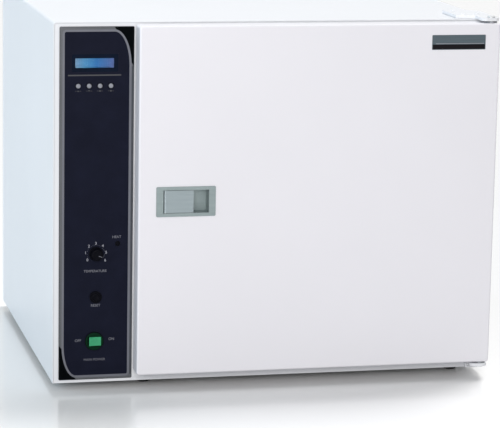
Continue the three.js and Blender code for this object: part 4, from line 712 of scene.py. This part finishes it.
def makeReset():
    x, z = reset["centre"]
    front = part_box("reset_switch")[0].y / mm
    profile = seated(reset["rim"], panel["front"] - front - hair)
    revolve("reset_rim", profile, (x, front, z), toBack, "black moulding", "cabinet",
            sides=reset["rimSides"])
    low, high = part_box("reset_button")
    top, back = low.y / mm, high.y / mm
    cap = revolve("reset_cap_piece", seated(reset["cap"], back - top), (x, top, z), toBack, "black moulding",
                  "reset_cap", sides=reset["capSides"])
    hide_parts("reset_button")
    printLabel("word_reset", "RESET", reset["centre"], reset["label"])


def makeLamp():
    x, z = lamp["centre"]
    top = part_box("indicator_lamp")[0].y / mm
    profile = seated(lamp["lens"], panel["front"] - top + lamp["lensRoot"])
    revolve("lamp_lens", profile, (x, top - lamp["proud"], z), toBack, "black moulding", "cabinet",
            sides=lamp["lensSides"])
    printLabel("word_heat", "HEAT", lamp["centre"], lamp["label"])


def makeRocker():
    x, z = rocker["centre"]
    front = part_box("rocker_frame")[0].y / mm
    plate = [circle(x, z, *rocker["plate"]), roundedAt(x, z, *rocker["hole"])]
    flatPiece("rocker_plate", plate, front + rocker["plateSunk"], rocker["plateThick"], "green-lit moulding",
              "cabinet", softEdge=rocker["plateSoft"])
    profile = seated(rocker["ring"], panel["front"] - front - hair)
    revolve("rocker_ring", profile, (x, front - rocker["proud"], z), toBack, "black moulding", "cabinet",
            sides=rocker["ringSides"], ring=True)
    printLabel("word_off", "OFF", rocker["centre"], rocker["off"])
    printLabel("word_on", "ON", rocker["centre"], rocker["on"])
    printLabel("word_power", "MAIN POWER", rocker["centre"], rocker["power"])


makeReset()
makeLamp()
makeRocker()
print("switches made")

badge = {
    "box": (249.5, 340.6, 556.6, 580.8),     # left, right, low, high
    "doorFront": -332.85,
    "thick": 0.7,
    "round": (1.2, 4),
    "soft": 0.15,              # the round along its front edge
    "printThick": 0.1,
    "stripe": 0.36,            # height of the black stripe, as a share of the plate's
    "stripeEdge": 1,
    "stripeRound": (0.4, 3),
    "line": (6, 3, 0.7, 1.9),      # in from the left and the right, then low and high above the stripe
    "lineRound": (0.3, 2),
}


def makeBadge():
    left, right, low, high = badge["box"]
    plate = rounded(left, right, low, high, *badge["round"])
    flatPiece("badge_plate", [plate], badge["doorFront"] - hair, badge["thick"], "badge grey", "door",
              softEdge=badge["soft"])
    inset, face = badge["stripeEdge"], badge["doorFront"] - badge["thick"]
    top = low + (high - low) * badge["stripe"]
    stripe = rounded(left + inset, right - inset, low + inset, top, *badge["stripeRound"])
    flatPiece("badge_stripe", [stripe], face, badge["printThick"], "badge black", "door")
    fromLeft, fromRight, foot, head = badge["line"]
    line = rounded(left + fromLeft, right - fromRight, top + foot, top + head, *badge["lineRound"])
    flatPiece("badge_line", [line], face, badge["printThick"], "pale cap", "door")


makeBadge()
print("badge made")

screwForm = {
    "sides": 24,
    "steps": 5,              # rows over the dome
    "dome": 0.62,            # share of a quarter turn that the dome takes in
    "socket": 0.40,          # the socket's radius, as a share of the head's
    "socketFloor": 0.25,     # its floor, as a share of the head's height
    "sunk": 0.05,            # how far a head goes into its surface
}
# A kind's places are across and up, or across and back for the screws on top.
screws = {
    "back_screw": dict(facing=toBack, face=325.65, radius=3.4, height=1.5,
                       places=[(x, z) for x in (-352, -120, 120, 352) for z in (22, 590)]
                       + [(x, z) for x in (-356, 356) for z in (160, 310, 460)]),
    "hinge_screw": dict(facing=toTop, face=607.3, radius=4.2, height=1.8, finish="cabinet coat",
                        places=[(320, -274), (348, -262), (320, -220)]),
    "strike_screw": dict(facing=toFront, face=-296.65, radius=2.3, height=0.9,
                         places=[(-213.4, 298.5), (-213.4, 332.5)]),
    "bracket_screw": dict(facing=toFront, face=-299.65, radius=2.4, height=1.0,
                          places=[(341, 16.2), (361, 16.2)]),
    "baffle_screw": dict(facing=toFront, face=107.5, radius=3.6, height=1.6,
                         places=[(x, z) for x in (-160, 66, 292) for z in (126, 502)]),
}
fuse = {
    "centre": (-300.0, 118.0),
    "capFace": 333.65,
    "radius": 6.1,
    "slot": 1.5,
    "proud": 0.5,            # how high the halves stand on the cap, and how far they go into it
    "sunk": 0.05,
    "soft": 0.12,
    "steps": 24,
}


def screwHead(name, centre, facing, radius, height, finish):
    # A low domed head with a six-sided socket.
    steps, socket = screwForm["steps"], radius * screwForm["socket"]
    turns = [math.radians(90 * i / steps) for i in range(steps + 1)]
    dome = [(radius * math.cos(turn * screwForm["dome"]), height * math.sin(turn)) for turn in turns]

    def pull(angle, reach):
        if reach != socket:
            return reach
        return reach / math.cos(angle % (math.pi / 3) - math.pi / 6)

    profile = dome + [(socket, height), (socket, height * screwForm["socketFloor"])]
    revolve(name, profile, centre, facing, finish, "cabinet", sides=screwForm["sides"], pull=pull,
            smooth=False)


def setScrews():
    for kind, screw in screws.items():
        facing, finish = screw["facing"], screw.get("finish", "brushed steel")
        level = screw["face"] - sum(facing) * screwForm["sunk"]
        for i, (across, other) in enumerate(screw["places"], 1):
            centre = (across, other, level) if facing == toTop else (across, level, other)
            screwHead("%s_%d" % (kind, i), centre, facing, screw["radius"], screw["height"], finish)


def slotFuseCap():
    # Two raised halves on the cap leave the slot that a coin or a screwdriver turns.
    x, z = fuse["centre"]
    radius, steps = fuse["radius"], fuse["steps"]
    start = math.degrees(math.asin(fuse["slot"] / 2 / radius))
    halves = []
    for side in (0, 180):
        turns = [math.radians(side + start + (180 - start * 2) * i / steps) for i in range(steps + 1)]
        halves.append([(x + radius * math.cos(t), z + radius * math.sin(t)) for t in turns])
    flatPiece("fuse_cap_halves", halves, fuse["capFace"] + fuse["proud"], fuse["proud"] + fuse["sunk"],
              "black moulding", "cabinet", softEdge=fuse["soft"])


setScrews()
slotFuseCap()
print("screws set")

stage = {
    "floor": (0.970, 0.963, 0.955),
    "floorBounce": (0.42, 0.42, 0.43),   # what the floor gives back to the object
    "floorSize": 60.0,
    "floorSquares": 12,        # along each side
    "ambient": 0.39,
    "ambientTint": (0.97, 0.985, 1.0),
    "lights": [
        # name, place, aimed at, width, height, watts, colour
        ("key", (-1.25, -4.2, 1.5), (0.0, -0.2, 0.3), 2.4, 1.8, 106, (1.0, 0.99, 0.98)),
        ("side", (-3.6, 0.5, 1.4), (-0.3, 0.1, 0.3), 3.6, 2.8, 60, (0.64, 0.86, 1.0)),
    ],
    "sky": {"from": (1.4, 1.15, 3.5), "strength": 1.72, "spread": 22, "tint": (1.0, 1.0, 1.0)},
}


def seenDirectly(tree):
    # One where the camera, a reflection or a pane looks, and zero for the light that a surface throws on.
    rays = addNode(tree, "ShaderNodeLightPath")
    seen = rays.outputs["Is Camera Ray"]
    for kind in ("Is Glossy Ray", "Is Transmission Ray"):
        either = addNode(tree, "ShaderNodeMath", operation="MAXIMUM")
        tree.links.new(seen, either.inputs[0])
        tree.links.new(rays.outputs[kind], either.inputs[1])
        seen = either.outputs[0]
    return seen


def mixBySight(tree, thrown, shown, output):
    # Joins the light that a surface throws on with what is seen of it.
    mix = addNode(tree, "ShaderNodeMixShader")
    tree.links.new(seenDirectly(tree), mix.inputs[0])
    tree.links.new(thrown.outputs[0], mix.inputs[1])
    tree.links.new(shown.outputs[0], mix.inputs[2])
    tree.links.new(mix.outputs[0], tree.nodes[output].inputs["Surface"])


def floorFinish():
    # A pale floor with a faint gloss. It looks white, but throws only part of that light up at the object.
    material = makeFinish("pale floor", stage["floor"], 0.16, cloud=2, shade=0.004, grain=60, bump=0.000002,
                          roughSpread=0.02, specular=0.5)
    tree = material.node_tree
    bounce = addNode(tree, "ShaderNodeBsdfDiffuse", Color=(*stage["floorBounce"], 1))
    mixBySight(tree, bounce, tree.nodes["Principled BSDF"], "Material Output")
    return material


def layFloor():
    size, count = stage["floorSize"], stage["floorSquares"]
    row = count + 1
    ticks = [(i / count - 0.5) * size for i in range(row)]
    points = [(x, y, 0) for y in ticks for x in ticks]
    starts = [j * row + i for j in range(count) for i in range(count)]
    mesh = bpy.data.meshes.new("floor")
    mesh.from_pydata(points, [], [[at, at + 1, at + row + 1, at + row] for at in starts])
    mesh.materials.append(floorFinish())
    floor = bpy.data.objects.new("floor", mesh)
    bpy.context.scene.collection.objects.link(floor)


def hangLight(name, kind, place, target, tint, **settings):
    data = bpy.data.lights.new(name, kind)
    data.color = tint
    for key, value in settings.items():
        setattr(data, key, value)
    light = bpy.data.objects.new(name, data)
    light.location = place
    light.rotation_euler = (Vector(target) - Vector(place)).to_track_quat("-Z", "Y").to_euler()
    bpy.context.scene.collection.objects.link(light)


def hangLights():
    for name, place, target, width, height, watts, tint in stage["lights"]:
        hangLight(name, "AREA", place, target, tint, shape="RECTANGLE", size=width, size_y=height,
                  energy=watts)
    # A broad high light from behind, which lays a soft shadow in front.
    sky = stage["sky"]
    hangLight("high", "SUN", sky["from"], (0, 0, 0), sky["tint"], energy=sky["strength"],
              angle=math.radians(sky["spread"]))


def lightWorld():
    # An even ambient level, and plain white where the camera, a reflection or a pane looks at it.
    world = bpy.data.worlds.new("studio")
    bpy.context.scene.world = world
    world.use_nodes = True
    tree = world.node_tree
    ambient = tree.nodes["Background"]
    ambient.inputs["Color"].default_value = (*stage["ambientTint"], 1)
    ambient.inputs["Strength"].default_value = stage["ambient"]
    white = addNode(tree, "ShaderNodeBackground", Color=(1, 1, 1, 1))
    mixBySight(tree, ambient, white, "World Output")


layFloor()
hangLights()
lightWorld()
bpy.context.scene.view_settings.view_transform = "Standard"
print("stage lit")
